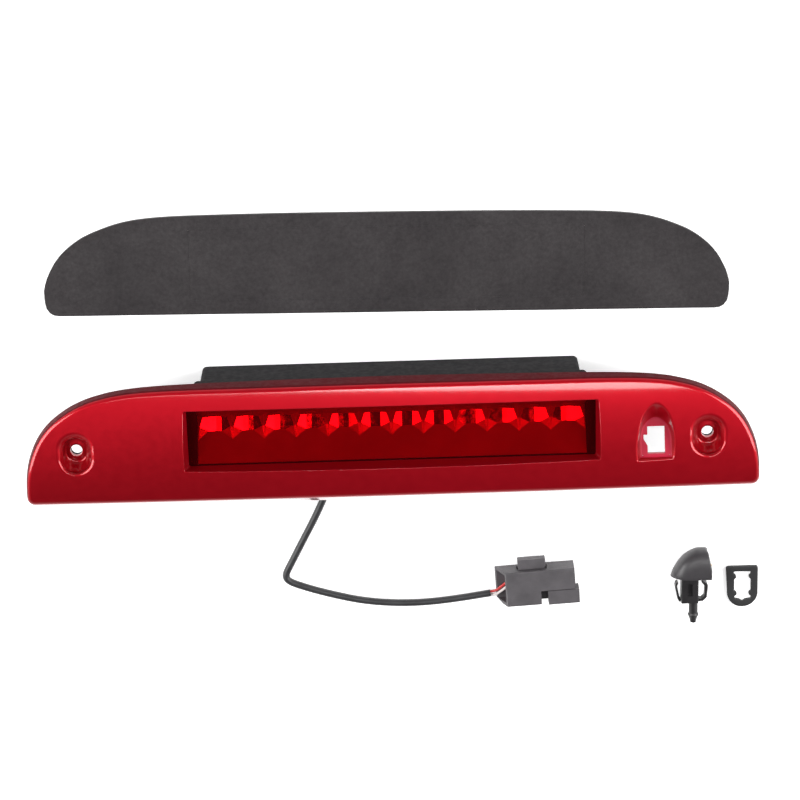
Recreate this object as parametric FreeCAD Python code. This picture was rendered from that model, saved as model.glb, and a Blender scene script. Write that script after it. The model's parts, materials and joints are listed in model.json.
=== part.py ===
import FreeCAD, Part
import math
import os

# Third brake light for a liftgate, with the loose pieces it is supplied with: the foam gasket,
# the rear washer nozzle that sits in the lens, the nozzle's seal, and the pigtail.
# Millimetres. Origin midway between the two screw holes, on the rear face of the mounting
# flange. +X runs along the lamp through the screw holes, +Y is the upper edge of the lens,
# +Z points out of the lens. The lamp lies on the back of its housing, and everything loose
# lies on the same surface.

os.makedirs("parts", exist_ok=True)
V = FreeCAD.Vector

# ---- driving dimensions --------------------------------------------------------------------
SCREW_SPACING = 380.0      # hole to hole
SCREW_HOLE_R = 3.6
FLOOR = -50.0              # back of the housing, and the surface the pieces lie on
FLANGE_T = 2.5             # mounting flange of the rear housing
LENS_T = 2.5               # wall of the lens cover
CROWN_Z = 22.0             # highest point of the lens face
CROWN_RX = 2500.0          # radius of the face along X
CROWN_RY = 160.0           # radius of the face along Y
CROWN_Y = -4.0
LEAN_TOP, LEAN_SIDE, LEAN_BOTTOM = 10.0, 15.0, 27.0   # lean of the lens walls, degrees
HALF_LEN = 222.3           # half length of the lens
BOX_Y0, BOX_Y1 = -12.5, 32.3
BOX_X_WIDE, BOX_X_NARROW, BOX_STEP_Z = 119.8, 116.0, -22.0
BOX_WALL = 2.2
WIN_X, WIN_Y0, WIN_Y1, WIN_Z = 122.2, -9.8, 25.4, 12.0   # window frame at its foot
WIN_X_T, WIN_Y0_T, WIN_Y1_T, WIN_Z_T = 126.6, -11.6, 28.6, 24.0
WINDOW_T = 2.0
LED_COUNT, LED_PITCH = 12, 19.2
CABLE_D = 4.5
WIRE_D = 1.7
FOAM_T = 3.0
LINER_T = 0.3
FOAM_ANGLE = -1.0
NOZ_X = 158.3              # centre of the nozzle pocket

# half outline of the lens foot, from the lower corner over the shoulder to the centre of the top
SHOULDER = [(222.3, -31.0), (222.2, -24.0), (221.2, -14.5), (219.4, -6.6), (216.9, 0.2),
            (213.6, 6.9), (209.4, 13.0), (204.0, 18.7), (198.0, 23.4), (191.9, 27.3),
            (185.7, 30.3), (179.6, 32.6), (173.5, 34.3), (167.5, 35.7), (161.5, 36.7),
            (152.0, 37.8), (140.0, 38.6), (120.0, 39.3), (95.0, 39.7), (66.0, 40.1),
            (35.0, 40.4), (0.0, 40.6)]


def save(shape, name):
    shape.exportStep("parts/%s.step" % name)
    print("%-24s solids %d  vol %.1f  valid %s" % (name, len(shape.Solids), shape.Volume, shape.isValid()))


def box(x0, x1, y0, y1, z0, z1):
    return Part.makeBox(x1 - x0, y1 - y0, z1 - z0, V(x0, y0, z0))


def rbox(x0, x1, y0, y1, z0, z1, r):
    b = box(x0, x1, y0, y1, z0, z1)
    es = [e for e in b.Edges if abs(e.tangentAt(e.FirstParameter).z) > 0.99]
    return b.makeFillet(r, es)


def cyl(x, y, z0, z1, r):
    return Part.makeCylinder(r, z1 - z0, V(x, y, z0), V(0, 0, 1))


def cyl_y(x, z, y0, y1, r):
    return Part.makeCylinder(r, y1 - y0, V(x, y0, z), V(0, 1, 0))


def cyl_x(y, z, x0, x1, r):
    return Part.makeCylinder(r, x1 - x0, V(x0, y, z), V(1, 0, 0))


def polygon(points, closed=True):
    pts = [V(*p) for p in points]
    return Part.makePolygon(pts + ([pts[0]] if closed else []))


def prism(points, height, z0=0.0):
    return Part.Face(polygon([(x, y, z0) for x, y in points])).extrude(V(0, 0, height))


def spline(points):
    c = Part.BSplineCurve()
    c.interpolate([V(*p) for p in points])
    return c.toShape()


def rrect(x0, x1, y0, y1, r, z):
    e = []
    k = r * (1 - math.sqrt(0.5))
    e.append(Part.makeLine(V(x0 + r, y0, z), V(x1 - r, y0, z)))
    e.append(Part.Arc(V(x1 - r, y0, z), V(x1 - k, y0 + k, z), V(x1, y0 + r, z)).toShape())
    e.append(Part.makeLine(V(x1, y0 + r, z), V(x1, y1 - r, z)))
    e.append(Part.Arc(V(x1, y1 - r, z), V(x1 - k, y1 - k, z), V(x1 - r, y1, z)).toShape())
    e.append(Part.makeLine(V(x1 - r, y1, z), V(x0 + r, y1, z)))
    e.append(Part.Arc(V(x0 + r, y1, z), V(x0 + k, y1 - k, z), V(x0, y1 - r, z)).toShape())
    e.append(Part.makeLine(V(x0, y1 - r, z), V(x0, y0 + r, z)))
    e.append(Part.Arc(V(x0, y0 + r, z), V(x0 + k, y0 + k, z), V(x0 + r, y0, z)).toShape())
    return Part.Wire(e)


def loft(w0, w1, ruled=True):
    return Part.makeLoft([w0, w1], True, ruled)


def tube(points, r, note):
    """A round tube along straight runs joined by tangent arcs."""
    pts = [V(*p) for p in points]
    n = len(pts)
    edges = []
    last = pts[0]
    length = 0.0
    radii = []
    for i in range(1, n - 1):
        a, b, c = pts[i - 1], pts[i], pts[i + 1]
        u = (a - b)
        w = (c - b)
        lu, lw = u.Length, w.Length
        u.normalize()
        w.normalize()
        turn = math.pi - u.getAngle(w)
        t = 0.45 * min(lu, lw)
        rad = t / math.tan(turn / 2)
        radii.append(round(rad, 1))
        p0 = b + u * t
        p1 = b + w * t
        bis = (u + w)
        bis.normalize()
        centre = b + bis * (rad / math.cos(turn / 2))
        mid = centre - bis * rad
        if (p0 - last).Length > 1e-6:
            edges.append(Part.LineSegment(last, p0).toShape())
            length += (p0 - last).Length
        edges.append(Part.Arc(p0, mid, p1).toShape())
        length += rad * turn
        last = p1
    edges.append(Part.LineSegment(last, pts[-1]).toShape())
    length += (pts[-1] - last).Length
    path = Part.Wire(edges)
    d = pts[1] - pts[0]
    prof = Part.Wire(Part.Circle(pts[0], d, r).toShape())
    body = path.makePipeShell([prof], True, True)
    want = math.pi * r * r * length
    print("%s: length %.1f radii %s volume ratio %.4f" % (note, length, radii, body.Volume / want))
    return body


# ---- lens outline --------------------------------------------------------------------------
def shoulder_full():
    right = SHOULDER
    left = [(-x, y) for x, y in reversed(SHOULDER[:-1])]
    return right + left


def normals(pts):
    out = []
    n = len(pts)
    for i in range(n):
        a = pts[max(0, i - 1)]
        b = pts[min(n - 1, i + 1)]
        tx, ty = b[0] - a[0], b[1] - a[1]
        l = math.hypot(tx, ty)
        out.append((ty / l, -tx / l))     # outward for a counter-clockwise run
    out[0] = (1.0, 0.0)
    out[-1] = (-1.0, 0.0)
    return out


def lean(ny):
    k = max(0.0, ny)
    return math.tan(math.radians(LEAN_SIDE + (LEAN_TOP - LEAN_SIDE) * k))


def arch_ring(z, extra):
    """Closed wire: the shoulder curve moved inward by the wall's lean and by extra, with its ends run down."""
    pts = shoulder_full()
    nrm = normals(pts)
    out = []
    for (x, y), (nx, ny) in zip(pts, nrm):
        d = (z - FLANGE_T) * lean(ny) + extra / math.cos(math.atan(lean(ny)))
        out.append((x - nx * d, y - ny * d, z))
    s = spline(out)
    a, b = out[0], out[-1]
    e = [s,
         Part.makeLine(V(*b), V(b[0], -75.0, z)),
         Part.makeLine(V(b[0], -75.0, z), V(a[0], -75.0, z)),
         Part.makeLine(V(a[0], -75.0, z), V(*a))]
    return Part.Wire(e)


def bottom_ring(z, extra):
    m = (z - FLANGE_T) * math.tan(math.radians(LEAN_BOTTOM)) + extra / math.cos(math.radians(LEAN_BOTTOM))
    a = Part.Arc(V(-235, -36.1 + m, z), V(0, -38.3 + m, z), V(235, -36.1 + m, z)).toShape()
    return Part.Wire([a,
                      Part.makeLine(V(235, -36.1 + m, z), V(235, 90, z)),
                      Part.makeLine(V(235, 90, z), V(-235, 90, z)),
                      Part.makeLine(V(-235, 90, z), V(-235, -36.1 + m, z))])


def crown(extra):
    """Everything under the crowned face: a section swept round an axis parallel to Y."""
    r = CROWN_RY - extra
    y0, y1 = -75.0, 75.0

    def zc(y):
        return CROWN_Z - CROWN_RY + math.sqrt(r * r - (y - CROWN_Y) ** 2)
    arc = Part.Arc(V(0, y0, zc(y0)), V(0, CROWN_Y, zc(CROWN_Y)), V(0, y1, zc(y1))).toShape()
    w = Part.Wire([arc,
                   Part.makeLine(V(0, y1, zc(y1)), V(0, y1, -40)),
                   Part.makeLine(V(0, y1, -40), V(0, y0, -40)),
                   Part.makeLine(V(0, y0, -40), V(0, y0, zc(y0)))])
    f = Part.Face(w)
    c = V(0, 0, CROWN_Z - CROWN_RX)
    f.rotate(c, V(0, 1, 0), -6.5)
    return f.revolve(c, V(0, 1, 0), 13.0)


def lens_body(extra, z0):
    arch = loft(arch_ring(z0, extra), arch_ring(30.0, extra))
    low = loft(bottom_ring(z0, extra), bottom_ring(30.0, extra))
    body = arch.common(low)
    corners = [e for e in body.Edges
               if abs(e.Vertexes[0].Z - e.Vertexes[-1].Z) > 5 and len(e.Vertexes) == 2
               and max(abs(v.X) for v in e.Vertexes) > 200 and max(v.Y for v in e.Vertexes) < 0]
    try:
        body = body.makeFillet(max(5.0 - extra, 1.5), corners)
    except Exception as err:
        print("corner fillet skipped", err)
    return body.common(crown(extra))


def face_edges(body, lo):
    out = []
    for e in body.Edges:
        p = e.valueAt((e.FirstParameter + e.LastParameter) / 2)
        if p.z > lo and e.Length > 2:
            out.append(e)
    return out


outer = lens_body(0.0, FLANGE_T)
rounded = None
for rad in (6.0, 4.5, 3.0, 2.0):
    try:
        t = outer.makeFillet(rad, face_edges(outer, 7.0))
        if t.isValid() and t.Volume > 0.9 * outer.Volume:
            rounded = t
            print("face fillet", rad)
            break
    except Exception as err:
        print("face fillet failed", rad, str(err)[:80])
if rounded is None:
    rounded = outer
inner = lens_body(LENS_T, FLANGE_T - 1.0)

# window frame: a drafted tube from the face down to the window insert
frame_out = loft(rrect(-WIN_X - 2.2, WIN_X + 2.2, WIN_Y0 - 2.2, WIN_Y1 + 2.2, 2.5, WIN_Z),
                 rrect(-WIN_X_T - 2.2, WIN_X_T + 2.2, WIN_Y0_T - 2.2, WIN_Y1_T + 2.2, 2.5, WIN_Z_T))
frame_cut = loft(rrect(-WIN_X + 0.04, WIN_X - 0.04, WIN_Y0 + 0.02, WIN_Y1 - 0.03, 1.2, WIN_Z - 0.1),
                 rrect(-WIN_X_T, WIN_X_T, WIN_Y0_T, WIN_Y1_T, 1.2, WIN_Z_T))


def oval(cx, cy, w, h, z):
    r = w / 2.0
    s = h / 2.0 - r
    e = [Part.makeLine(V(cx + r, cy - s, z), V(cx + r, cy + s, z)),
         Part.Arc(V(cx + r, cy + s, z), V(cx, cy + s + r, z), V(cx - r, cy + s, z)).toShape(),
         Part.makeLine(V(cx - r, cy + s, z), V(cx - r, cy - s, z)),
         Part.Arc(V(cx - r, cy - s, z), V(cx, cy - s - r, z), V(cx + r, cy - s, z)).toShape()]
    return Part.Wire(e)


# nozzle pocket: a bullet outline at the face that narrows to a D-shaped seat on a tilted plane
SEAT_Y0, SEAT_Z0 = -11.9, 14.8
SEAT_Y1, SEAT_Z1 = 11.3, 8.0


def seat_z(y, drop=0.0):
    return SEAT_Z0 + (y - SEAT_Y0) * (SEAT_Z1 - SEAT_Z0) / (SEAT_Y1 - SEAT_Y0) - drop


def d_ring(grow, drop):
    half = [(9.4 + grow, SEAT_Y0 - grow), (9.35 + grow, -4.0), (8.5 + grow, 3.0), (5.6 + grow * 0.8, 8.6 + grow * 0.6), (0.0, SEAT_Y1 + grow)]
    right = [(NOZ_X + x, y, seat_z(y, drop)) for x, y in half]
    left = [(NOZ_X - x, y, seat_z(y, drop)) for x, y in reversed(half)]
    return Part.Wire([Part.makeLine(V(*left[-1]), V(*right[0])), spline(right), spline(left)])


def bullet_ring(grow, z):
    half = [(12.2 + grow, -13.6 - grow), (12.0 + grow, -2.0), (9.9 + grow, 10.0), (6.0 + grow * 0.9, 20.5 + grow * 0.4), (0.0, 27.5 + grow)]
    right = [(NOZ_X + x, y, z) for x, y in half]
    left = [(NOZ_X - x, y, z) for x, y in reversed(half)]
    return Part.Wire([Part.makeLine(V(*left[-1]), V(*right[0])), spline(right), spline(left)])


pocket_cut = loft(d_ring(0.0, 0.0), bullet_ring(0.0, 18.2))
pocket_out = loft(d_ring(2.2, 2.6), bullet_ring(2.2, 18.2))

screw_posts, screw_cuts = [], []
for sx in (-SCREW_SPACING / 2, SCREW_SPACING / 2):
    screw_posts.append(loft(oval(sx, 0.2, 18.4, 23.2, FLANGE_T), oval(sx, 1.6, 25.5, 31.0, 17.0)))
    mouth = loft(oval(sx, -1.0, 15.4, 21.6, 10.6), oval(sx, 1.9, 22.4, 28.0, 15.6))
    seat = loft(oval(sx, 0.2, 13.2, 15.6, 5.0), oval(sx, -1.0, 15.42, 21.64, 10.65))
    screw_cuts += [mouth, seat, cyl(sx, 0, 0, 12, SCREW_HOLE_R)]

lens = rounded.cut(inner)
for extra_solid in [frame_out, pocket_out] + screw_posts:
    lens = lens.fuse(extra_solid.common(rounded))
lens = lens.cut(frame_cut).cut(box(-WIN_X - 6, WIN_X + 6, WIN_Y0 - 6, WIN_Y1 + 6, -5, WIN_Z - 0.0))
keyed = prism([(153.3, -9.75), (163.6, -9.75), (163.6, 5.9), (153.3, 5.9), (153.3, 1.1), (151.0, 1.1), (151.0, -1.6), (153.3, -5.2)], 30, 0)
lens = lens.cut(pocket_cut).cut(keyed)
for c in screw_cuts:
    lens = lens.cut(c)
lens = lens.removeSplitter()
if len(lens.Solids) > 1:
    big = max(lens.Solids, key=lambda s: s.Volume)
    print("dropping", [round(s.Volume, 2) for s in lens.Solids if s is not big])
    lens = big
save(lens, "outer_lens")

# ---- clear window insert, bonded under the frame's foot --------------------------------------
window = rbox(-WIN_X - 2.4, WIN_X + 2.4, WIN_Y0 - 2.0, WIN_Y1 + 2.0, WIN_Z - WINDOW_T, WIN_Z, 2.2)
save(window, "window_lens")

# ---- rear housing -----------------------------------------------------------------------------
def foot_outline(off, z):
    """Plan outline of the lens foot, moved inward."""
    arch = arch_ring(FLANGE_T, off)
    low = bottom_ring(FLANGE_T, off)
    a = Part.Face(arch)
    b = Part.Face(low)
    f = a.common(b)
    f.translate(V(0, 0, z - FLANGE_T))
    return f


flange = foot_outline(1.0, 0.0).extrude(V(0, 0, FLANGE_T))
vert = [e for e in flange.Edges if abs(e.Vertexes[0].Z - e.Vertexes[-1].Z) > 2 and max(v.Y for v in e.Vertexes) < 0]
try:
    flange = flange.makeFillet(4.0, vert)
except Exception as err:
    print("flange corners", err)
wide = rbox(-BOX_X_WIDE, BOX_X_WIDE, BOX_Y0, BOX_Y1, BOX_STEP_Z, 1.0, 3.0)
narrow = rbox(-BOX_X_NARROW, BOX_X_NARROW, BOX_Y0, BOX_Y1, FLOOR, BOX_STEP_Z + 0.5, 3.0)
back = [e for e in narrow.Edges if abs(e.Vertexes[0].Z - FLOOR) < 1e-6 and abs(e.Vertexes[-1].Z - FLOOR) < 1e-6]
try:
    narrow = narrow.makeFillet(2.0, back)
except Exception as err:
    print("back fillet", err)
housing = flange.fuse(wide).fuse(narrow)
w = BOX_WALL
housing = housing.cut(rbox(-BOX_X_WIDE + w, BOX_X_WIDE - w, BOX_Y0 + w, BOX_Y1 - w, BOX_STEP_Z + w, 3.0, 1.5))
housing = housing.cut(rbox(-BOX_X_NARROW + w, BOX_X_NARROW - w, BOX_Y0 + w, BOX_Y1 - w, FLOOR + w, BOX_STEP_Z + w + 1, 1.5))
for sx in (-SCREW_SPACING / 2, SCREW_SPACING / 2):
    housing = housing.cut(cyl(sx, 0, -2, 6, SCREW_HOLE_R))
NOZ_OPEN = (NOZ_X - 10.5, NOZ_X + 10.5, -15.0, 10.5)
housing = housing.cut(rbox(NOZ_OPEN[0], NOZ_OPEN[1], NOZ_OPEN[2], NOZ_OPEN[3], -2, 6, 3.0))
# stiffening ribs on the back of the flange, each side of the box
for sx in (-1, 1):
    for yy in (-24.0, 16.0):
        x0, x1 = sorted((sx * 119.0, sx * (176.0 if yy < 0 else 146.0)))
        housing = housing.fuse(box(x0, x1, yy - 0.8, yy + 0.8, -3.0, 0.5))
# lower wall: hole for the grommet and a boss for the vent patch
GROM_X, GROM_Z = -38.0, -36.0
VENT_X, VENT_Z = 34.0, -33.0
housing = housing.cut(cyl_y(GROM_X, GROM_Z, BOX_Y0 - 2, BOX_Y0 + w + 2, 4.6))
housing = housing.fuse(cyl_y(VENT_X, VENT_Z, BOX_Y0 - 1.6, BOX_Y0 + 0.5, 7.0))
housing = housing.cut(cyl_y(VENT_X, VENT_Z, BOX_Y0 - 1.7, BOX_Y0 - 0.8, 5.6))
housing = housing.cut(cyl_y(VENT_X, VENT_Z, BOX_Y0 - 3, BOX_Y0 + w + 2, 1.5))
SCREW_X = (-105.6, -38.4, 38.4, 105.6)
BOARD_Y0, BOARD_Y1 = 28.4, 30.0
BOARD_Z0, BOARD_Z1 = -19.0, 8.0
BSCREW_Z = -14.6
for bx in SCREW_X:
    housing = housing.cut(cyl_y(bx, BSCREW_Z, 29.0, 31.6, 1.15))
housing = housing.removeSplitter()
save(housing, "rear_housing")

# ---- sealant bead between the flange and the lens foot ----------------------------------------
bead = foot_outline(3.9, FLANGE_T).extrude(V(0, 0, 1.6)).cut(foot_outline(6.2, FLANGE_T - 0.5).extrude(V(0, 0, 3.0)))
save(bead, "lens_sealant")

# ---- vent patch and grommet --------------------------------------------------------------------
vent = cyl_y(VENT_X, VENT_Z, BOX_Y0 - 1.2, BOX_Y0 - 0.8, 5.4)
save(vent, "vent_patch")
g = cyl_y(GROM_X, GROM_Z, BOX_Y0 - 1.8, BOX_Y0, 6.4)
g = g.fuse(cyl_y(GROM_X, GROM_Z, BOX_Y0, BOX_Y0 + w, 4.6))
g = g.fuse(cyl_y(GROM_X, GROM_Z, BOX_Y0 + w, BOX_Y0 + w + 1.4, 5.4))
g = g.fuse(Part.makeCone(3.2, 4.4, 9.0, V(GROM_X, BOX_Y0 - 10.8, GROM_Z), V(0, 1, 0)))
g = g.cut(cyl_y(GROM_X, GROM_Z, BOX_Y0 - 12, BOX_Y0 + w + 3, CABLE_D / 2))
g = g.removeSplitter()
save(g, "cable_grommet")

# ---- LED board -----------------------------------------------------------------------------------
board = rbox(-113.0, 113.0, BOARD_Y0, BOARD_Y1, BOARD_Z0, BOARD_Z1, 0.5)
for bx in SCREW_X:
    board = board.cut(cyl_y(bx, BSCREW_Z, 28, 31, 1.4))
save(board, "led_board")
LED_X = [(i - (LED_COUNT - 1) / 2.0) * LED_PITCH for i in range(LED_COUNT)]
LED_Z = 0.5
leds = Part.makeCompound([box(x - 2.5, x + 2.5, BOARD_Y0 - 1.0, BOARD_Y0, LED_Z - 2.5, LED_Z + 2.5)
                          .fuse(Part.makeCone(2.1, 1.5, 0.8, V(x, BOARD_Y0 - 1.0, LED_Z), V(0, -1, 0))).removeSplitter() for x in LED_X])
save(leds, "leds")
res = Part.makeCompound([box(x + 3.4, x + 6.6, BOARD_Y0 - 0.6, BOARD_Y0, -13.6, -12.0) for x in LED_X if abs(abs(x + 5) - 38.4) > 4])
save(res, "board_resistors")
diodes = Part.makeCompound([box(x - 2.3, x + 2.3, BOARD_Y0 - 2.2, BOARD_Y0, -17.6, -14.0) for x in (-58.0, -18.0)])
save(diodes, "board_diodes")
scr = []
for bx in SCREW_X:
    s = cyl_y(bx, BSCREW_Z, BOARD_Y0 - 1.6, BOARD_Y0, 2.4)
    s = s.cut(box(bx - 1.6, bx + 1.6, BOARD_Y0 - 1.7, BOARD_Y0 - 0.9, BSCREW_Z - 0.35, BSCREW_Z + 0.35))
    s = s.cut(box(bx - 0.35, bx + 0.35, BOARD_Y0 - 1.7, BOARD_Y0 - 0.9, BSCREW_Z - 1.6, BSCREW_Z + 1.6))
    s = s.fuse(cyl_y(bx, BSCREW_Z, BOARD_Y0, 31.4, 1.1))
    scr.append(s.removeSplitter())
save(Part.makeCompound(scr), "board_screws")

# ---- reflector tray ---------------------------------------------------------------------------------
REF_TOP, REF_BOT = 9.7, -9.0
tray = box(-115.3, 115.3, -9.6, 26.0, REF_BOT, REF_TOP)
# smooth sloped apron below the cups
apron = Part.Face(polygon([(-115.2, -8.4, 8.6), (-115.2, 0.6, 2.3), (-115.2, 14.0, -7.1), (-115.2, 30.0, -7.1), (-115.2, 30.0, 12.0), (-115.2, -8.4, 12.0)])).extrude(V(230.4, 0, 0))
cups = None
for x in LED_X:
    c = Part.makeCone(8.8, 25.2, 18.6, V(x, -3.4, -7.4), V(0, 0, 1))
    cups = c if cups is None else cups.fuse(c)
cups = cups.common(box(-113.6, 113.6, -9.0, 30, -8, 12))
cups = cups.common(apron)
tray = tray.cut(cups)
for x in LED_X:
    tray = tray.cut(box(x - 2.9, x + 2.9, 10.0, 27.0, LED_Z - 2.9, LED_Z + 2.9))
for sx in (-1, 1):
    x0, x1 = sorted((sx * 115.0, sx * 117.0))
    tray = tray.fuse(box(x0, x1, -9.6, 26.0, BOX_STEP_Z + w, REF_TOP))
tray = tray.removeSplitter()
if len(tray.Solids) > 1:
    big = max(tray.Solids, key=lambda s: s.Volume)
    print("tray bits", [round(s.Volume, 2) for s in tray.Solids])
    tray = big
save(tray, "reflector_tray")

# ---- wires inside the housing ------------------------------------------------------------------------
inner_wires = []
for k, s in (("inner_wire_red", 1), ("inner_wire_white", -1)):
    t = tube([(GROM_X + s * 0.95, BOX_Y0 + w + 1.6, GROM_Z), (GROM_X + s * 1.4, -1.0, GROM_Z - 0.6), (GROM_X + s * 4.5, 12.0, GROM_Z + 2.0),
              (GROM_X + s * 7.5, 20.0, GROM_Z + 10.0), (GROM_X + s * 8.0, 23.0, GROM_Z + 19.0), (GROM_X + s * 8.0, 28.4, GROM_Z + 20.4)], 0.85, k)
    save(t, k)

# ---- free cable ----------------------------------------------------------------------------------------
CZ = FLOOR + CABLE_D / 2 + 0.05
CABLE = [(GROM_X, BOX_Y0 + w + 1.4, GROM_Z), (GROM_X, BOX_Y0 - 11.0, GROM_Z), (-38.4, -36.0, -37.4), (-40.2, -46.5, -43.6), (-43.8, -56.5, CZ + 0.5),
         (-50.8, -71.5, CZ), (-59.6, -88.0, CZ), (-66.6, -101.5, CZ), (-70.6, -109.0, CZ), (-69.4, -113.6, CZ), (-61.0, -117.4, CZ),
         (-44.0, -123.2, CZ), (-19.5, -129.6, CZ), (7.5, -131.8, CZ), (34.0, -130.2, CZ), (59.7, -126.2, CZ)]
cable = tube(CABLE, CABLE_D / 2, "cable_sheath")
save(cable, "cable_sheath")

# ---- connector on the far end ---------------------------------------------------------------------------
# local frame: x along the body from the cable end, y across, z up from the surface
CON = FreeCAD.Placement(V(63.4, -131.8, FLOOR), FreeCAD.Rotation(V(0, 0, 1), 3.1))
CL, CW, CH = 50.6, 23.4, 14.0


def place(s):
    s = s.copy()
    s.Placement = CON.multiply(s.Placement)
    return s


body = box(0, CL, 0, CW, 0, CH)
body = body.makeFillet(0.8, [e for e in body.Edges if abs(e.tangentAt(e.FirstParameter).x) > 0.99])
# the cable end is cut on a slant, open at the top
body = body.cut(Part.Face(polygon([(-1, -1, CH + 1), (7.6, -1, CH + 1), (-1, -1, -3)])).extrude(V(0, 40, 0)))
body = body.cut(prism([(-1, -1), (6.0, -1), (-1, 2.6)], 20, -1))
# rear cavity for the wire seals
body = body.cut(rbox(-2, 16.0, 2.0, CW - 2.0, 1.8, CH - 1.8, 0.1))
# track for the lock slide in the lower right of the top face and side
body = body.cut(box(28.6, CL + 1, -1, 9.4, 5.0, CH + 1))
# socket that the mating half goes into
body = body.cut(box(CL - 13.0, CL + 1, 10.3, CW - 1.6, 1.8, CH - 1.8))
# window for the latch, along the far side
body = body.cut(box(14.2, 33.4, CW - 1.6, CW + 1, 3.4, CH - 3.4))
# two bores that hold the terminals
WY = (12.0, 15.0)     # the two wires and their terminals across the connector
for ty in WY:
    body = body.cut(box(15.9, CL - 12.9, ty - 1.05, ty + 1.05, 6.4, 7.6))
body = body.removeSplitter()
save(place(body), "connector_housing")

seal_block = rbox(9.6, 14.0, 2.3, CW - 2.3, 2.1, CH - 2.1, 1.2)
for y in WY:
    seal_block = seal_block.cut(cyl_x(y, 7.0, 9, 15, WIRE_D / 2 + 0.02))
save(place(seal_block), "connector_wire_seal")
terms = []
for ty in WY:
    t = box(16.2, CL - 12.9, ty - 1.0, ty + 1.0, 6.5, 7.5).fuse(box(CL - 12.9, CL - 5.0, ty - 0.75, ty + 0.75, 6.6, 7.4))
    tip = [e for e in t.Edges if abs(e.Vertexes[0].X - (CL - 5.0)) < 1e-6 and abs(e.Vertexes[-1].X - (CL - 5.0)) < 1e-6 and e.Length > 1.2]
    terms.append(t.makeChamfer(0.3, tip).removeSplitter())
save(place(Part.makeCompound(terms)), "connector_terminals")

# latch along the far side: a pad on a short rocking beam
latch = box(15.0, 32.0, CW - 0.3, CW + 0.5, 4.2, CH - 4.2).fuse(box(15.0, 32.6, CW + 0.5, CW + 6.6, 4.2, CH - 4.2))
latch = latch.cut(box(18.0, 31.0, CW + 1.4, CW + 5.6, 3.0, 6.4))
latch = latch.removeSplitter()
save(place(latch), "connector_latch")

lock = box(33.0, CL + 2.2, -0.6, 9.1, 5.3, CH + 0.3)
lock = lock.makeFillet(1.0, [e for e in lock.Edges if abs(e.tangentAt(e.FirstParameter).x) > 0.99 and e.Vertexes[0].Y < 0]).removeSplitter()
save(place(lock), "connector_lock_slide")

# the two wires from the end of the sheath into the seal
end = V(*CABLE[-1])
for k, sgn, wy in (("tail_wire_red", 1, WY[1]), ("tail_wire_white", -1, WY[0])):
    tgt = CON.multVec(V(14.2, wy, 7.0))
    pre = CON.multVec(V(8.2, wy, 7.0))
    st = end + V(0.0, sgn * 1.0, 0)
    m1 = V(st.x + 3.6, st.y + 0.6 + sgn * 0.35, st.z + 0.9)
    t = tube([tuple(st), tuple(m1), tuple(pre), tuple(tgt)], WIRE_D / 2, k)
    save(t, k)

# ---- foam gasket -------------------------------------------------------------------------------------------
FO = [(209.3, 16.5), (206.9, 24.6), (204.6, 29.2), (202.5, 32.9), (200.3, 36.0), (197.1, 39.7), (190.8, 45.2), (184.5, 49.4), (178.1, 52.5),
      (171.8, 55.0), (165.5, 57.2), (159.4, 58.8), (153.3, 60.0), (141.3, 61.4), (111.3, 62.6), (70.0, 63.2), (0.0, 63.4)]
FOAM_AT = FreeCAD.Placement(V(-0.6, 64.5, FLOOR), FreeCAD.Rotation(V(0, 0, 1), FOAM_ANGLE))
KX, KY0, KY1 = 120.2, 9.0, 54.6


def foam_face(off, z):
    pts = FO + [(-x, y) for x, y in reversed(FO[:-1])]
    n = normals(pts)
    out = [(x - nx * off, y - ny * off, z) for (x, y), (nx, ny) in zip(pts, n)]
    a, b = out[0], out[-1]
    y0 = 0.0 + off
    r = 6.0
    e = [spline(out),
         Part.makeLine(V(*b), V(b[0] + 0.3, y0 + r + 2, z)),
         Part.Arc(V(b[0] + 0.3, y0 + r + 2, z), V(b[0] + 2.9, y0 + 2.0, z), V(b[0] + 8.5, y0, z)).toShape(),
         Part.makeLine(V(b[0] + 8.5, y0, z), V(a[0] - 8.5, y0, z)),
         Part.Arc(V(a[0] - 8.5, y0, z), V(a[0] - 2.9, y0 + 2.0, z), V(a[0] - 0.3, y0 + r + 2, z)).toShape(),
         Part.makeLine(V(a[0] - 0.3, y0 + r + 2, z), V(*a))]
    return Part.Face(Part.Wire(e))


def put_foam(s):
    s = s.copy()
    s.Placement = FOAM_AT.multiply(s.Placement)
    return s


pad = foam_face(0.0, LINER_T).extrude(V(0, 0, FOAM_T))
hole = rbox(-KX, KX, KY0, KY1, 0, LINER_T + FOAM_T + 1, 2.0)
plug = rbox(-KX + 0.25, KX - 0.25, KY0 + 0.25, KY1 - 0.25, LINER_T, LINER_T + FOAM_T, 2.0)
save(put_foam(pad.cut(hole)), "foam_gasket")
save(put_foam(plug), "foam_knockout")
liner = foam_face(0.4, 0.0).extrude(V(0, 0, LINER_T))
save(put_foam(liner.cut(rbox(-KX, KX, KY0, KY1, -1, 2, 2.0))), "gasket_liner")

# ---- washer nozzle -----------------------------------------------------------------------------------------
# lies on the side of its hood: stem along Y, the D-shaped hood face towards -Y, jet at the +X end
NX, NY, NZ = 186.0, -114.6, FLOOR + 9.5
HOOD_L0, HOOD_L1 = 173.9, 199.3        # tip and flat end along X
HOOD_H = 18.2
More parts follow.
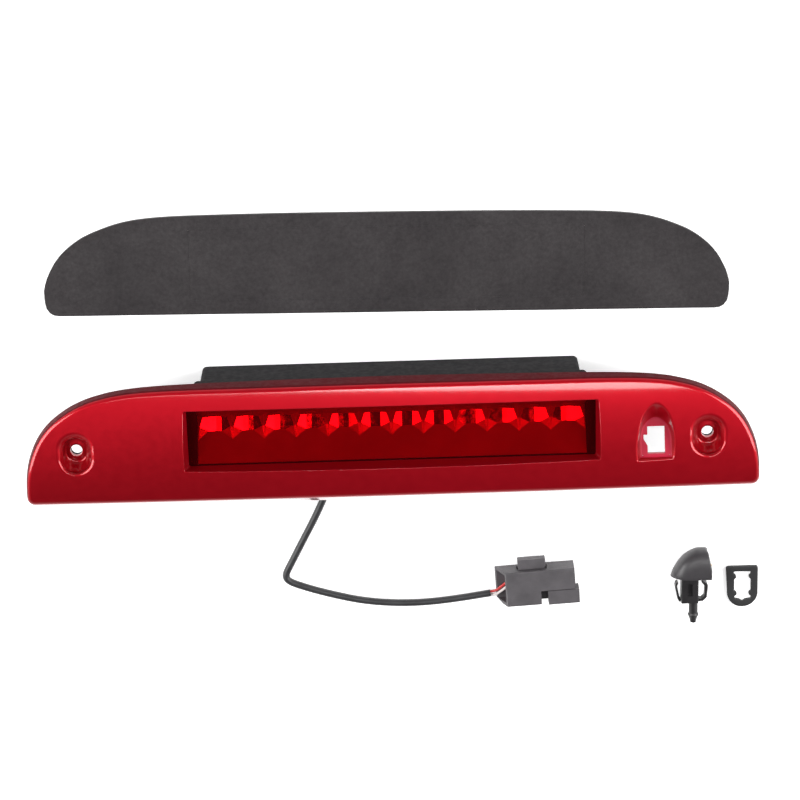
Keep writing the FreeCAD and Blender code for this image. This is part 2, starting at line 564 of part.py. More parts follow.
# D footprint in the X-Z plane, swept along Y, then cut to the dome profile
dpts = [(HOOD_L0, NZ), (HOOD_L0 + 2.2, NZ + 4.9), (HOOD_L0 + 7.6, NZ + 8.5), (HOOD_L0 + 15.0, NZ + 9.35), (HOOD_L1, NZ + 9.4)]
top_e = spline([(x, NY, z) for x, z in dpts])
bot_e = spline([(x, NY, 2 * NZ - z) for x, z in reversed(dpts)])
dface = Part.Face(Part.Wire([top_e, Part.makeLine(V(HOOD_L1, NY, NZ + 9.4), V(HOOD_L1, NY, NZ - 9.4)), bot_e]))
dsolid = dface.extrude(V(0, HOOD_H + 2, 0))
prof = [(HOOD_L0 - 0.4, NY - 0.1), (HOOD_L0 + 1.2, NY + 3.2), (HOOD_L0 + 4.6, NY + 8.6), (HOOD_L0 + 9.6, NY + 13.8), (HOOD_L0 + 15.0, NY + 16.8), (HOOD_L0 + 19.4, NY + HOOD_H)]
pw = Part.Wire([spline([(x, y, NZ - 20) for x, y in prof]),
                Part.makeLine(V(prof[-1][0], prof[-1][1], NZ - 20), V(HOOD_L1 - 3.4, NY + HOOD_H - 0.2, NZ - 20)),
                Part.makeLine(V(HOOD_L1 - 3.4, NY + HOOD_H - 0.2, NZ - 20), V(HOOD_L1 - 2.0, NY + HOOD_H - 1.6, NZ - 20)),
                Part.makeLine(V(HOOD_L1 - 2.0, NY + HOOD_H - 1.6, NZ - 20), V(HOOD_L1, NY + 6.5, NZ - 20)),
                Part.makeLine(V(HOOD_L1, NY + 6.5, NZ - 20), V(HOOD_L1, NY - 0.1, NZ - 20)),
                Part.makeLine(V(HOOD_L1, NY - 0.1, NZ - 20), V(prof[0][0], prof[0][1], NZ - 20))])
hood = dsolid.common(Part.Face(pw).extrude(V(0, 0, 40)))
# round the crown across its width
cross = Part.Wire([Part.Arc(V(HOOD_L0 - 5, NY + 5.0, NZ - 9.6), V(HOOD_L0 - 5, NY + HOOD_H + 0.2, NZ), V(HOOD_L0 - 5, NY + 5.0, NZ + 9.6)).toShape(),
                   Part.makeLine(V(HOOD_L0 - 5, NY + 5.0, NZ + 9.6), V(HOOD_L0 - 5, NY - 1, NZ + 9.6)),
                   Part.makeLine(V(HOOD_L0 - 5, NY - 1, NZ + 9.6), V(HOOD_L0 - 5, NY - 1, NZ - 9.6)),
                   Part.makeLine(V(HOOD_L0 - 5, NY - 1, NZ - 9.6), V(HOOD_L0 - 5, NY + 5.0, NZ - 9.6))])
hood = hood.common(Part.Face(cross).extrude(V(40, 0, 0)))
JET_Y = NY + 6.2
JET_R = 1.9
hood = hood.cut(Part.makeSphere(JET_R + 0.08, V(HOOD_L1 - 1.1, JET_Y, NZ)))
hood = hood.cut(Part.makeCone(1.0, 2.4, 3.0, V(HOOD_L1 - 2.0, JET_Y, NZ), V(1, 0, 0)))
hood = hood.cut(cyl_x(JET_Y, NZ, 185.0, HOOD_L1 - 2.0, 0.7))
hood = hood.removeSplitter()
save(hood, "nozzle_hood")
# the jet ball: a bored ball, turned about its own axis
JX, JBORE = HOOD_L1 - 1.1, 0.35
jend = math.sqrt(JET_R ** 2 - JBORE ** 2)
jprof = Part.Wire([Part.Arc(V(JX + jend, JET_Y + JBORE, NZ), V(JX, JET_Y + JET_R, NZ), V(JX - jend, JET_Y + JBORE, NZ)).toShape(),
                   Part.makeLine(V(JX - jend, JET_Y + JBORE, NZ), V(JX + jend, JET_Y + JBORE, NZ))])
jet = Part.Face(jprof).revolve(V(JX, JET_Y, NZ), V(1, 0, 0), 360)
save(jet, "nozzle_jet")

STEM_X0, STEM_X1 = 180.6, 191.4
SX = 188.6                # axis of the hose barb
stem = box(STEM_X0, STEM_X1, -132.4, NY, NZ - 4.6, NZ + 4.6)
stem = stem.makeFillet(0.8, [e for e in stem.Edges if abs(e.tangentAt(e.FirstParameter).y) > 0.99])
stem = stem.cut(box(184.6, 187.6, -127.4, -119.0, NZ + 3.0, NZ + 6))
barb = Part.makeCylinder(2.9, 9.6, V(SX, -141.8, NZ), V(0, 1, 0))
barb = barb.fuse(Part.makeCone(2.3, 3.5, 3.2, V(SX, -145.0, NZ), V(0, 1, 0)))
barb = barb.fuse(Part.makeCone(3.5, 2.9, 1.2, V(SX, -141.8, NZ), V(0, 1, 0)))
barb = barb.fuse(Part.makeCone(1.9, 2.3, 2.2, V(SX, -147.2, NZ), V(0, 1, 0)))
stem = stem.fuse(barb).cut(Part.makeCylinder(1.25, 32.0, V(SX, -148, NZ), V(0, 1, 0)))
# collar under the hood
stem = stem.fuse(Part.makeCylinder(4.9, 1.6, V(186.0, NY - 1.6, NZ), V(0, 1, 0))).removeSplitter()
save(stem, "nozzle_body")

# spring legs: each rises from the foot of the stem, bows outward and hooks in at the top
GAP = 0.25


def leg(points, name):
    s = prism([(x, y) for x, y in points], 5.0, NZ - 2.5)
    save(s, name)


leg([(STEM_X1 + GAP, -132.2), (194.6, -131.9), (196.9, -129.4), (197.6, -121.4), (196.9, -119.6), (194.4, -118.2), (193.5, -119.2), (195.6, -121.6),
     (195.3, -128.6), (193.6, -130.4), (STEM_X1 + GAP, -130.3)], "nozzle_clip_right")
leg([(STEM_X0 - GAP, -132.2), (179.2, -131.8), (178.2, -129.6), (176.6, -121.4), (177.0, -119.4), (178.2, -118.2), (178.7, -119.2), (177.9, -121.2),
     (179.6, -129.0), (180.0, -130.4), (STEM_X0 - GAP, -130.3)], "nozzle_clip_left")

# ---- nozzle seal ----------------------------------------------------------------------------------------------
SEAL_T = 2.6
cx, top, bot = 220.4, -113.0, -141.0
hw = 10.2
so = Part.Wire([Part.Arc(V(cx - hw, top - 1.6, FLOOR), V(cx - hw + 0.47, top - 0.47, FLOOR), V(cx - hw + 1.6, top, FLOOR)).toShape(),
                Part.makeLine(V(cx - hw + 1.6, top, FLOOR), V(cx + hw - 1.6, top, FLOOR)),
                Part.Arc(V(cx + hw - 1.6, top, FLOOR), V(cx + hw - 0.47, top - 0.47, FLOOR), V(cx + hw, top - 1.6, FLOOR)).toShape(),
                Part.makeLine(V(cx + hw, top - 1.6, FLOOR), V(cx + hw, -130.4, FLOOR)),
                Part.Arc(V(cx + hw, -130.4, FLOOR), V(cx + 0.6, bot, FLOOR), V(cx - hw + 1.0, -130.4, FLOOR)).toShape(),
                Part.makeLine(V(cx - hw + 1.0, -130.4, FLOOR), V(cx - hw, top - 1.6, FLOOR))])
seal = Part.Face(so).extrude(V(0, 0, SEAL_T))
key = prism([(215.2, -116.4), (226.0, -116.6), (226.1, -118.4), (224.9, -119.6), (224.9, -121.0), (226.2, -122.0), (226.3, -130.2), (225.0, -131.2), (225.0, -132.8),
             (226.5, -133.8), (226.3, -135.6), (222.4, -136.2), (220.9, -137.6), (219.4, -136.2), (216.2, -135.4), (215.8, -133.6), (217.2, -132.6), (217.2, -131.0),
             (215.7, -130.0), (215.5, -121.8), (216.8, -120.8), (216.8, -119.4), (215.3, -118.2)], SEAL_T + 2, FLOOR - 1)
save(seal.cut(key), "nozzle_seal")
print("done")
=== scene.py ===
import bmesh
import bpy
import json
import math
import numpy as np
from mathutils import Matrix, Vector
from mathutils.geometry import delaunay_2d_cdt


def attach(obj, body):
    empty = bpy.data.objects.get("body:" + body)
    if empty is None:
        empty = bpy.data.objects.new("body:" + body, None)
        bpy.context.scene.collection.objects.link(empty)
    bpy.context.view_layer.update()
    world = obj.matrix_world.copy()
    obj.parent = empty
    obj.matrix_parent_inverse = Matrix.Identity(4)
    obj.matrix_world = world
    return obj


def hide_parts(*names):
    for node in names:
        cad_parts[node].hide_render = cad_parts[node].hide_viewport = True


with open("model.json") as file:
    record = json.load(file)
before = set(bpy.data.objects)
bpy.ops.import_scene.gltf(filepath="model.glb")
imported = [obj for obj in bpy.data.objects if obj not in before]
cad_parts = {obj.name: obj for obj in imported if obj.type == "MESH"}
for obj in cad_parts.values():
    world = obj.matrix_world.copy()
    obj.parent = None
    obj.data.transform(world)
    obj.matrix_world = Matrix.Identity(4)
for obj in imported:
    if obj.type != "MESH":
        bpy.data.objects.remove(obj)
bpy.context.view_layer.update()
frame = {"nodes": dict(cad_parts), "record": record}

N = frame["nodes"]
MM = 0.001
scene = bpy.context.scene
TAU = 2 * math.pi

# =============================================================================================
# camera: long lens, leaning 20 degrees towards the lamp's upper edge, rolled a little
# =============================================================================================
tilt, roll, dist = math.radians(20.0), math.radians(1.715), 1.5
focal_px = 1500 / 0.602
right0, up0 = Vector((1, 0, 0)), Vector((0, math.cos(tilt), -math.sin(tilt)))
back = Vector((0, math.sin(tilt), math.cos(tilt)))
right = math.cos(roll) * right0 - math.sin(roll) * up0
up = math.sin(roll) * right0 + math.cos(roll) * up0
aim = Vector((0, 0, 0.005))
place = aim - ((391.9 - 400) / focal_px * dist) * right - ((400 - 440.75) / focal_px * dist) * up + dist * back
cam_data = bpy.data.cameras.new("camera")
cam_data.lens = 36 * focal_px / 800
cam_data.sensor_width = 36
cam_data.clip_start, cam_data.clip_end = 0.05, 20
cam = bpy.data.objects.new("camera", cam_data)
cam.matrix_world = Matrix(((right.x, up.x, back.x, place.x), (right.y, up.y, back.y, place.y),
                           (right.z, up.z, back.z, place.z), (0, 0, 0, 1)))
scene.collection.objects.link(cam)
scene.camera = cam
scene.view_settings.view_transform = "Standard"
scene.view_settings.look = "None"

# =============================================================================================
# materials
# =============================================================================================


class Tree:
    def __init__(self, name):
        self.m = bpy.data.materials.new(name)
        self.m.use_nodes = True
        self.t = self.m.node_tree
        self.b = self.t.nodes["Principled BSDF"]
        self.out = self.t.nodes["Material Output"]
        self.co = self.t.nodes.new("ShaderNodeTexCoord")

    def node(self, kind, **values):
        n = self.t.nodes.new(kind)
        for k, v in values.items():
            if k in n.inputs:
                n.inputs[k].default_value = v
            else:
                setattr(n, k, v)
        return n

    def link(self, a, b):
        self.t.links.new(a, b)

    def noise(self, scale, detail=2.0, rough=0.5, stretch=None):
        n = self.node("ShaderNodeTexNoise", Scale=scale, Detail=detail, Roughness=rough)
        if stretch:
            mp = self.node("ShaderNodeMapping")
            mp.inputs["Scale"].default_value = stretch
            self.link(self.co.outputs["Object"], mp.inputs["Vector"])
            self.link(mp.outputs["Vector"], n.inputs["Vector"])
        else:
            self.link(self.co.outputs["Object"], n.inputs["Vector"])
        return n.outputs["Fac"]

    def ramp(self, fac, stops):
        r = self.node("ShaderNodeValToRGB")
        el = r.color_ramp.elements
        while len(el) < len(stops):
            el.new(0.5)
        for e, (p, c) in zip(el, stops):
            e.position = p
            e.color = c if hasattr(c, "__len__") else (c, c, c, 1)
        self.link(fac, r.inputs["Fac"])
        return r.outputs["Color"]

    def range(self, fac, lo, hi, a=0.35, b=0.65):
        r = self.node("ShaderNodeMapRange")
        r.inputs["From Min"].default_value = a
        r.inputs["From Max"].default_value = b
        r.inputs["To Min"].default_value = lo
        r.inputs["To Max"].default_value = hi
        self.link(fac, r.inputs["Value"])
        return r.outputs["Result"]

    def bump(self, fac, mm, strength=1.0, under=None):
        n = self.node("ShaderNodeBump", Strength=strength, Distance=mm * MM)
        self.link(fac, n.inputs["Height"])
        if under is not None:
            self.link(under, n.inputs["Normal"])
        return n.outputs["Normal"]


def col(c, k=1.0):
    return (c[0] * k, c[1] * k, c[2] * k, 1.0)


def plain(name, base, rough, metallic=0.0, var=0.12, patch=60.0, grain=1500.0, grain_mm=0.02, rough_var=0.06, coat=0.0, coat_rough=0.05, spec=0.5, tone=None, detail=3.0):
    """Moulded or coated surface: colour drifts over large patches, roughness over medium ones, fine grain in bump."""
    t = Tree(name)
    c2 = tone or [x * (1 + var) for x in base]
    c1 = [x * (1 - var) for x in base]
    t.link(t.ramp(t.noise(patch, 3), [(0.32, col(c1)), (0.68, col(c2))]), t.b.inputs["Base Color"])
    t.link(t.range(t.noise(patch * 6, 4), max(0.02, rough - rough_var), rough + rough_var), t.b.inputs["Roughness"])
    t.link(t.bump(t.noise(grain, detail), grain_mm, 0.6), t.b.inputs["Normal"])
    t.b.inputs["Metallic"].default_value = metallic
    t.b.inputs["Coat Weight"].default_value = coat
    t.b.inputs["Coat Roughness"].default_value = coat_rough
    t.b.inputs["Specular IOR Level"].default_value = spec
    return t


M = {}


def make_materials():
    # candy red lens: metallised base under clear acrylic, faint flow marks along its length
    t = Tree("lens_red")
    base = t.ramp(t.noise(14, 2, 0.5, (0.5, 1.4, 1.0)), [(0.3, (0.37, 0.0018, 0.0085, 1)), (0.7, (0.43, 0.0024, 0.0108, 1))])
    # painted shade: the colour is darkened towards the lower edge and lightened towards the upper edge, standing in for
    # the light falling from above
    sep = t.node("ShaderNodeSeparateXYZ")
    t.link(t.co.outputs["Object"], sep.inputs["Vector"])
    painted_shade_ramp = t.ramp(t.range(sep.outputs["Y"], 0.0, 1.0, -0.038, 0.040), [(0.0, (0.80, 0.80, 0.80, 1)), (1.0, (1.12, 1.12, 1.12, 1))])
    painted_shade_mix = t.node("ShaderNodeMix", data_type="RGBA", blend_type="MULTIPLY")
    painted_shade_mix.inputs["Factor"].default_value = 1.0
    t.link(base, painted_shade_mix.inputs["A"])
    t.link(painted_shade_ramp, painted_shade_mix.inputs["B"])
    t.link(painted_shade_mix.outputs["Result"], t.b.inputs["Base Color"])
    t.b.inputs["Metallic"].default_value = 0.62
    t.link(t.range(t.noise(220, 3), 0.40, 0.46), t.b.inputs["Roughness"])
    t.link(t.bump(t.noise(4200, 2), 0.0025, 0.35), t.b.inputs["Normal"])
    t.b.inputs["Coat Weight"].default_value = 1.0
    t.b.inputs["Coat Roughness"].default_value = 0.075
    t.b.inputs["Coat IOR"].default_value = 1.49
    t.b.inputs["Specular IOR Level"].default_value = 0.15
    M["lens_red"] = t.m

    # painted shade: the skirt under the rounded edge is left dull and given a red about five times darker than the
    # lens, standing in for the shade along that band
    M["lens_seat"] = plain("lens_seat", (0.40, 0.006, 0.030), 0.52, grain=1500, grain_mm=0.01, var=0.1, spec=0.25).m
    M["lens_skirt"] = plain("lens_skirt", (0.085, 0.0020, 0.0055), 0.60, grain=1500, grain_mm=0.01, var=0.1, spec=0.08).m

    # clear red window: tinted see-through with a glossy face
    t = Tree("window_red")
    t.t.nodes.remove(t.b)
    tr = t.node("ShaderNodeBsdfTransparent")
    t.link(t.ramp(t.noise(30, 2), [(0.3, (0.92, 0.150, 0.200, 1)), (0.7, (0.95, 0.162, 0.215, 1))]), tr.inputs["Color"])
    gl = t.node("ShaderNodeBsdfPrincipled", Roughness=0.05)
    gl.inputs["Base Color"].default_value = (0.25, 0.004, 0.01, 1)
    t.link(t.bump(t.noise(90, 2), 0.01, 0.3), gl.inputs["Normal"])
    fr = t.node("ShaderNodeFresnel", IOR=1.45)
    add = t.node("ShaderNodeMath", operation="ADD")
    add.inputs[1].default_value = 0.05
    t.link(fr.outputs["Fac"], add.inputs[0])
    mix = t.node("ShaderNodeMixShader")
    t.link(add.outputs["Value"], mix.inputs["Fac"])
    t.link(tr.outputs["BSDF"], mix.inputs[1])
    t.link(gl.outputs["BSDF"], mix.inputs[2])
    t.link(mix.outputs["Shader"], t.out.inputs["Surface"])
    M["window_red"] = t.m

    M["housing_black"] = plain("housing_black", (0.0110, 0.0098, 0.0112), 0.72, grain=1100, grain_mm=0.05, var=0.15, spec=0.12).m
    M["sealant"] = plain("sealant", (0.02, 0.02, 0.02), 0.45, grain=400, grain_mm=0.12).m
    M["vent_grey"] = plain("vent_grey", (0.6, 0.6, 0.59), 0.85, grain=2600, grain_mm=0.05).m
    M["rubber_black"] = plain("rubber_black", (0.018, 0.018, 0.019), 0.62, grain=1700, grain_mm=0.03, var=0.2).m
    M["board_green"] = plain("board_green", (0.02, 0.11, 0.045), 0.35, grain=700, grain_mm=0.01, coat=0.5).m
    M["led_package"] = plain("led_package", (0.8, 0.76, 0.62), 0.3, grain=900, grain_mm=0.005, coat=0.6).m
    M["chip_black"] = plain("chip_black", (0.02, 0.02, 0.02), 0.5, grain=2500, grain_mm=0.01).m
    M["steel"] = plain("steel", (0.55, 0.55, 0.56), 0.32, metallic=1.0, grain=1500, grain_mm=0.01).m
    M["wire_red"] = plain("wire_red", (0.55, 0.02, 0.02), 0.38, grain=900, grain_mm=0.01, coat=0.3).m
    M["wire_white"] = plain("wire_white", (0.75, 0.70, 0.68), 0.4, grain=900, grain_mm=0.01, coat=0.2).m
    M["connector_black"] = plain("connector_black", (0.080, 0.074, 0.080), 0.55, grain=1600, grain_mm=0.035, var=0.18, patch=90).m
    M["silicone"] = plain("silicone", (0.60, 0.38, 0.42), 0.5, grain=1200, grain_mm=0.02).m
    M["terminal_tin"] = plain("terminal_tin", (0.62, 0.6, 0.55), 0.3, metallic=1.0, grain=1200, grain_mm=0.01).m
    M["liner_paper"] = plain("liner_paper", (0.62, 0.58, 0.5), 0.6, grain=600, grain_mm=0.02).m
    M["nozzle_black"] = plain("nozzle_black", (0.017, 0.016, 0.017), 0.36, grain=1500, grain_mm=0.012, var=0.2, rough_var=0.04).m
    # painted light: the hood gets a lighter copy of the nozzle black, standing in for the broad light its dome catches
    M["hood_black"] = plain("hood_black", (0.040, 0.037, 0.040), 0.40, grain=1500, grain_mm=0.012, var=0.12, rough_var=0.04).m
    M["jet_brass"] = plain("jet_brass", (0.62, 0.42, 0.16), 0.28, metallic=1.0, grain=1500, grain_mm=0.01).m

    # satin PVC sheath with drawing marks along it
    t = plain("sheath_black", (0.030, 0.030, 0.032), 0.42, grain=900, grain_mm=0.02, var=0.18, patch=120)
    M["sheath_black"] = t.m

    # closed-cell foam: pores, rolled skin, slow mottling
    t = Tree("foam_black")
    slow = t.ramp(t.noise(22, 4), [(0.3, (0.0270, 0.0235, 0.0250, 1)), (0.7, (0.0390, 0.0345, 0.0360, 1))])
    mid = t.ramp(t.noise(420, 5, 0.65), [(0.3, 0.72), (0.72, 1.18)])
    mul = t.node("ShaderNodeMix", data_type="RGBA", blend_type="MULTIPLY")
    mul.inputs["Factor"].default_value = 1.0
    t.link(slow, mul.inputs["A"])
    t.link(mid, mul.inputs["B"])
    t.link(mul.outputs["Result"], t.b.inputs["Base Color"])
    t.link(t.range(t.noise(160, 4), 0.78, 0.95), t.b.inputs["Roughness"])
    pores = t.node("ShaderNodeTexVoronoi", Scale=1500)
    t.link(t.co.outputs["Object"], pores.inputs["Vector"])
    b1 = t.bump(pores.outputs["Distance"], 0.16, 0.75)
    t.link(t.bump(t.noise(500, 5, 0.6), 0.22, 0.55, b1), t.b.inputs["Normal"])
    t.b.inputs["Specular IOR Level"].default_value = 0.25
    t.b.inputs["Sheen Weight"].default_value = 0.12
    t.b.inputs["Sheen Roughness"].default_value = 0.5
    M["foam_black"] = t.m

    # metallised facets and the satin base of the reflector
    t = plain("reflector_bright", (0.90, 0.88, 0.87), 0.10, metallic=1.0, grain=260, grain_mm=0.004, var=0.05, rough_var=0.03)
    M["reflector_bright"] = t.m
    t = plain("reflector_mid", (0.74, 0.72, 0.71), 0.34, metallic=1.0, grain=600, grain_mm=0.004, var=0.05, rough_var=0.03)
    M["reflector_mid"] = t.m
    t = plain("reflector_base", (0.62, 0.61, 0.61), 0.42, metallic=0.15, grain=900, grain_mm=0.01, var=0.08)
    M["reflector_base"] = t.m


make_materials()
for sub in frame["record"]["subparts"]:
    node, slot_name = sub["node"], sub["material_slot"]
    if node in N and slot_name in M:
        for s in N[node].material_slots:
            s.material = M[slot_name]

# =============================================================================================
# mesh helpers, in millimetres
# =============================================================================================


def new_mesh(name, verts, faces, mats, body, index=None, sharp=30.0, smooth=True, outward=False):
    me = bpy.data.meshes.new(name)
    me.from_pydata([tuple(float(c) * MM for c in v) for v in verts], [], [tuple(int(i) for i in f) for f in faces])
    me.validate(clean_customdata=False)
    if outward:
        bm = bmesh.new()
        bm.from_mesh(me)
        bmesh.ops.recalc_face_normals(bm, faces=bm.faces)
        bm.to_mesh(me)
        bm.free()
    for m in mats:
        me.materials.append(m)
    if index is not None:
        me.polygons.foreach_set("material_index", np.array(index, np.int32))
    me.polygons.foreach_set("use_smooth", [smooth] * len(me.polygons))
    if smooth:
        me.set_sharp_from_angle(angle=math.radians(sharp))
    me.update()
    o = bpy.data.objects.new(name, me)
    scene.collection.objects.link(o)
    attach(o, body)
    return o


def natural_spline(P, count):
    """Dense polyline on the natural cubic through P, by chord length."""
    P = np.asarray(P, float)
    n = len(P)
    h = np.linalg.norm(np.diff(P[:, :2], axis=0), axis=1)
    t = np.concatenate([[0], np.cumsum(h)])
    A = np.zeros((n, n))
    B = np.zeros((n, P.shape[1]))
    A[0, 0] = A[-1, -1] = 1
    for i in range(1, n - 1):
        A[i, i - 1], A[i, i], A[i, i + 1] = h[i - 1], 2 * (h[i - 1] + h[i]), h[i]
        B[i] = 6 * ((P[i + 1] - P[i]) / h[i] - (P[i] - P[i - 1]) / h[i - 1])
    S = np.linalg.solve(A, B)
    q = np.linspace(0, t[-1], count)
    k = np.clip(np.searchsorted(t, q, side="right") - 1, 0, n - 2)
    a, b, hh = (t[k + 1] - q)[:, None], (q - t[k])[:, None], h[k][:, None]
    return (S[k] * a ** 3 + S[k + 1] * b ** 3) / (6 * hh) + (P[k] / hh - S[k] * hh / 6) * a + (P[k + 1] / hh - S[k + 1] * hh / 6) * b


def resample(P, fractions):
    P = np.asarray(P, float)
    s = np.concatenate([[0], np.cumsum(np.linalg.norm(np.diff(P, axis=0), axis=1))])
    f = np.asarray(fractions) * s[-1]
    return np.stack([np.interp(f, s, P[:, c]) for c in range(P.shape[1])], 1)


def inside(points, poly):
    x, y = points[:, 0], points[:, 1]
    res = np.zeros(len(points), bool)
    j = len(poly) - 1
    for i in range(len(poly)):
        xi, yi, xj, yj = poly[i][0], poly[i][1], poly[j][0], poly[j][1]
        if yi != yj:
            cross = ((yi > y) != (yj > y)) & (x < (xj - xi) * (y - yi) / (yj - yi) + xi)
            res ^= cross
        j = i
    return res


def far_from(points, loop, gap):
    """Points at least gap from a closed polyline."""
    keep = np.ones(len(points), bool)
    a = loop
    b = np.roll(loop, -1, axis=0)
    for p, q in zip(a, b):
        d = q - p
        l2 = max(d @ d, 1e-12)
        t = np.clip(((points - p) @ d) / l2, 0, 1)
        dist2 = ((points - p - t[:, None] * d) ** 2).sum(1)
        keep &= dist2 > gap * gap
    return keep


def fill(outer, holes, step_x, step_y, gap):
    """Triangles of a flat region in plan. Returns extra interior points and triangles over outer + holes + extras."""
    loops = [np.asarray(outer)[:, :2]] + [np.asarray(h)[:, :2] for h in holes]
    lo, hi = loops[0].min(0), loops[0].max(0)
    gx = np.arange(lo[0] + step_x / 2, hi[0], step_x)
    gy = np.arange(lo[1] + step_y / 2, hi[1], step_y)
    G = np.array([(x + (step_x / 2 if i % 2 else 0), y) for i, y in enumerate(gy) for x in gx])
    if len(G):
        ok = inside(G, loops[0]) & far_from(G, loops[0], gap)
        for h in loops[1:]:
            ok &= ~inside(G, h) & far_from(G, h, gap)
        G = G[ok]
    pts = np.concatenate(loops + ([G] if len(G) else []))
    edges, at = [], 0
    for l in loops:
        n = len(l)
        edges += [(at + i, at + (i + 1) % n) for i in range(n)]
        at += n
    vo, _, fo, ov, _, _ = delaunay_2d_cdt([Vector(p) for p in pts], edges, [], 0, 1e-7)
    back_to = [o[0] if o else -1 for o in ov]
    tris = []
    C = np.array([[(vo[f[0]][c] + vo[f[1]][c] + vo[f[2]][c]) / 3 for c in (0, 1)] for f in fo])
    ok = inside(C, loops[0])
    for h in loops[1:]:
        ok &= ~inside(C, h)
    for f, k in zip(fo, ok):
        if k:
            ids = [back_to[i] for i in f]
            if -1 in ids:
                continue
            a, b, c = (pts[i] for i in ids)
            if (b[0] - a[0]) * (c[1] - a[1]) - (b[1] - a[1]) * (c[0] - a[0]) < 0:
                ids.reverse()
            tris.append(tuple(ids))
    return G, tris


def loop_normals(P):
    """Outward plan normals of a closed counter-clockwise loop."""
    d = np.roll(P, -1, axis=0) - np.roll(P, 1, axis=0)
    n = np.stack([d[:, 1], -d[:, 0]], 1)
    return n / np.maximum(np.linalg.norm(n, axis=1), 1e-9)[:, None]


def strips(a, b):
    n = len(a)
    return [(a[i], a[(i + 1) % n], b[(i + 1) % n], b[i]) for i in range(n)]


# =============================================================================================
# the lens cover
# =============================================================================================
SHOULDER = [(222.3, -48.0), (222.3, -40.0), (222.3, -31.0), (222.2, -24.0), (221.2, -14.5), (219.4, -6.6), (216.9, 0.2),
            (213.6, 6.9), (209.4, 13.0), (204.0, 18.7), (198.0, 23.4), (191.9, 27.3),
            (185.7, 30.3), (179.6, 32.6), (173.5, 34.3), (167.5, 35.7), (161.5, 36.7),
            (152.0, 37.8), (140.0, 38.6), (120.0, 39.3), (95.0, 39.7), (66.0, 40.1), (35.0, 40.4), (0.0, 40.6)]
SKIN = 2.2


def crown(x, y):
    zc = 22 - 160 + np.sqrt(160.0 ** 2 - (np.asarray(y, float) + 4) ** 2)
    return (22 - 2500) + np.sqrt((zc + 2478) ** 2 - np.asarray(x, float) ** 2)


def crown_normal(x, y):
    e = 0.01
    gx = (crown(x + e, y) - crown(x - e, y)) / (2 * e)
    gy = (crown(x, y + e) - crown(x, y - e)) / (2 * e)
    n = np.stack([-gx, -gy, np.ones_like(gx)], -1)
    return n / np.linalg.norm(n, axis=-1, keepdims=True)


def bezier(p0, p1, p2, p3, t):
    return (1 - t) ** 3 * p0 + 3 * (1 - t) ** 2 * t * p1 + 3 * (1 - t) * t ** 2 * p2 + t ** 3 * p3


WALL_T = [0.0, 0.35, 0.7]
FIL_T = list(np.linspace(0, 1, 13))


def edge_profile(px, py, nx, ny, lean, lw, lc):
    """Inset and height of each ring at one place on the outline: up the wall, then over the rounded edge."""
    r = 0.0
    for _ in range(40):
        z = float(crown(px - nx * r, py - ny * r))
        r = (z - 2.5) * lean
    w = np.array([lean, 1.0]) / math.hypot(lean, 1.0)
    top = np.array([r, z])
    p0 = top - w * lw
    r2 = r + lc
    z2 = float(crown(px - nx * r2, py - ny * r2))
    e = 0.05
    c = np.array([1.0, (float(crown(px - nx * (r2 + e), py - ny * (r2 + e))) - z2) / e])
    p3 = np.array([r2, z2])
    foot = np.array([0.0, 2.5])
    out = [foot + (p0 - foot) * t for t in WALL_T]
    out += [bezier(p0, p0 + w * lw * 0.62, p3 - c * lc * 0.62, p3, t) for t in FIL_T]
    return np.array(out)


def lens_rings():
    pts = SHOULDER + [(-x, y) for x, y in reversed(SHOULDER[:-1])]
    P = np.array(pts)
    nrm = []
    for i in range(len(P)):
        a, b = P[max(0, i - 1)], P[min(len(P) - 1, i + 1)]
        d = b - a
        nrm.append((d[1], -d[0]) / np.hypot(*d))
    nrm = np.array(nrm)
    nrm[:3] = (1, 0)
    nrm[-3:] = (-1, 0)
    prof = []
    for (x, y), (nx, ny) in zip(P, nrm):
        k = max(0.0, ny)
        lean = math.tan(math.radians(8.5 - 7.0 * k))
        prof.append(edge_profile(x, y, nx, ny, lean, 2.3 + 0.5 * k, 2.5 + 0.3 * k))
    prof = np.array(prof)
    count = prof.shape[1]
    arch_f = np.concatenate([np.linspace(0, 0.12, 30, endpoint=False), np.linspace(0.12, 0.88, 200, endpoint=False), np.linspace(0.88, 1, 31)])
    corner_n, bottom_n = 12, 150
    rings = []
    for k in range(count):
        A = np.concatenate([P - nrm * prof[:, k, 0:1], prof[:, k, 1:2]], 1)
        dense = natural_spline(A, 2400)
        R = 5.0 - 1.6 * k / (count - 1)
        xs = float(np.interp(-30, dense[:1200, 1], dense[:1200, 0]))

        def bottom(x):
            yb = -38.3 + 2.2 * (x / 235.0) ** 2
            pr = edge_profile(x, yb, 0.0, -1.0, math.tan(math.radians(27.0)), 2.2, 2.4)
            return yb + pr[k, 0], pr[k, 1]
        yb, zb = bottom(xs - R)
        yc = yb + R
        keep = dense[dense[:, 1] > yc]
        start = np.array([np.interp(yc, dense[:600, 1], dense[:600, c]) for c in range(3)])
        stop = start * (-1, 1, 1)
        arch = resample(np.concatenate([[start], keep, [stop]]), arch_f)
        right_c = []
        for i in range(1, corner_n):
            a = i / corner_n * math.pi / 2
            f = i / corner_n
            right_c.append((start[0] - R + R * math.cos(a), yc - R * math.sin(a), start[2] + (zb - start[2]) * (f * f * (3 - 2 * f))))
        right_c = np.array(right_c)
        left_c = right_c[:, :] * (-1, 1, 1)
        xx = np.linspace(-(start[0] - R), start[0] - R, bottom_n)
        bot = np.array([(x, *bottom(x)) for x in xx])
        ring = np.concatenate([arch, left_c, bot, right_c[::-1]])
        if k == count - 1:
            ring[:, 2] = crown(ring[:, 0], ring[:, 1])
        if k == 0:
            ring[:, 2] = 2.5
        rings.append(ring)
    return rings


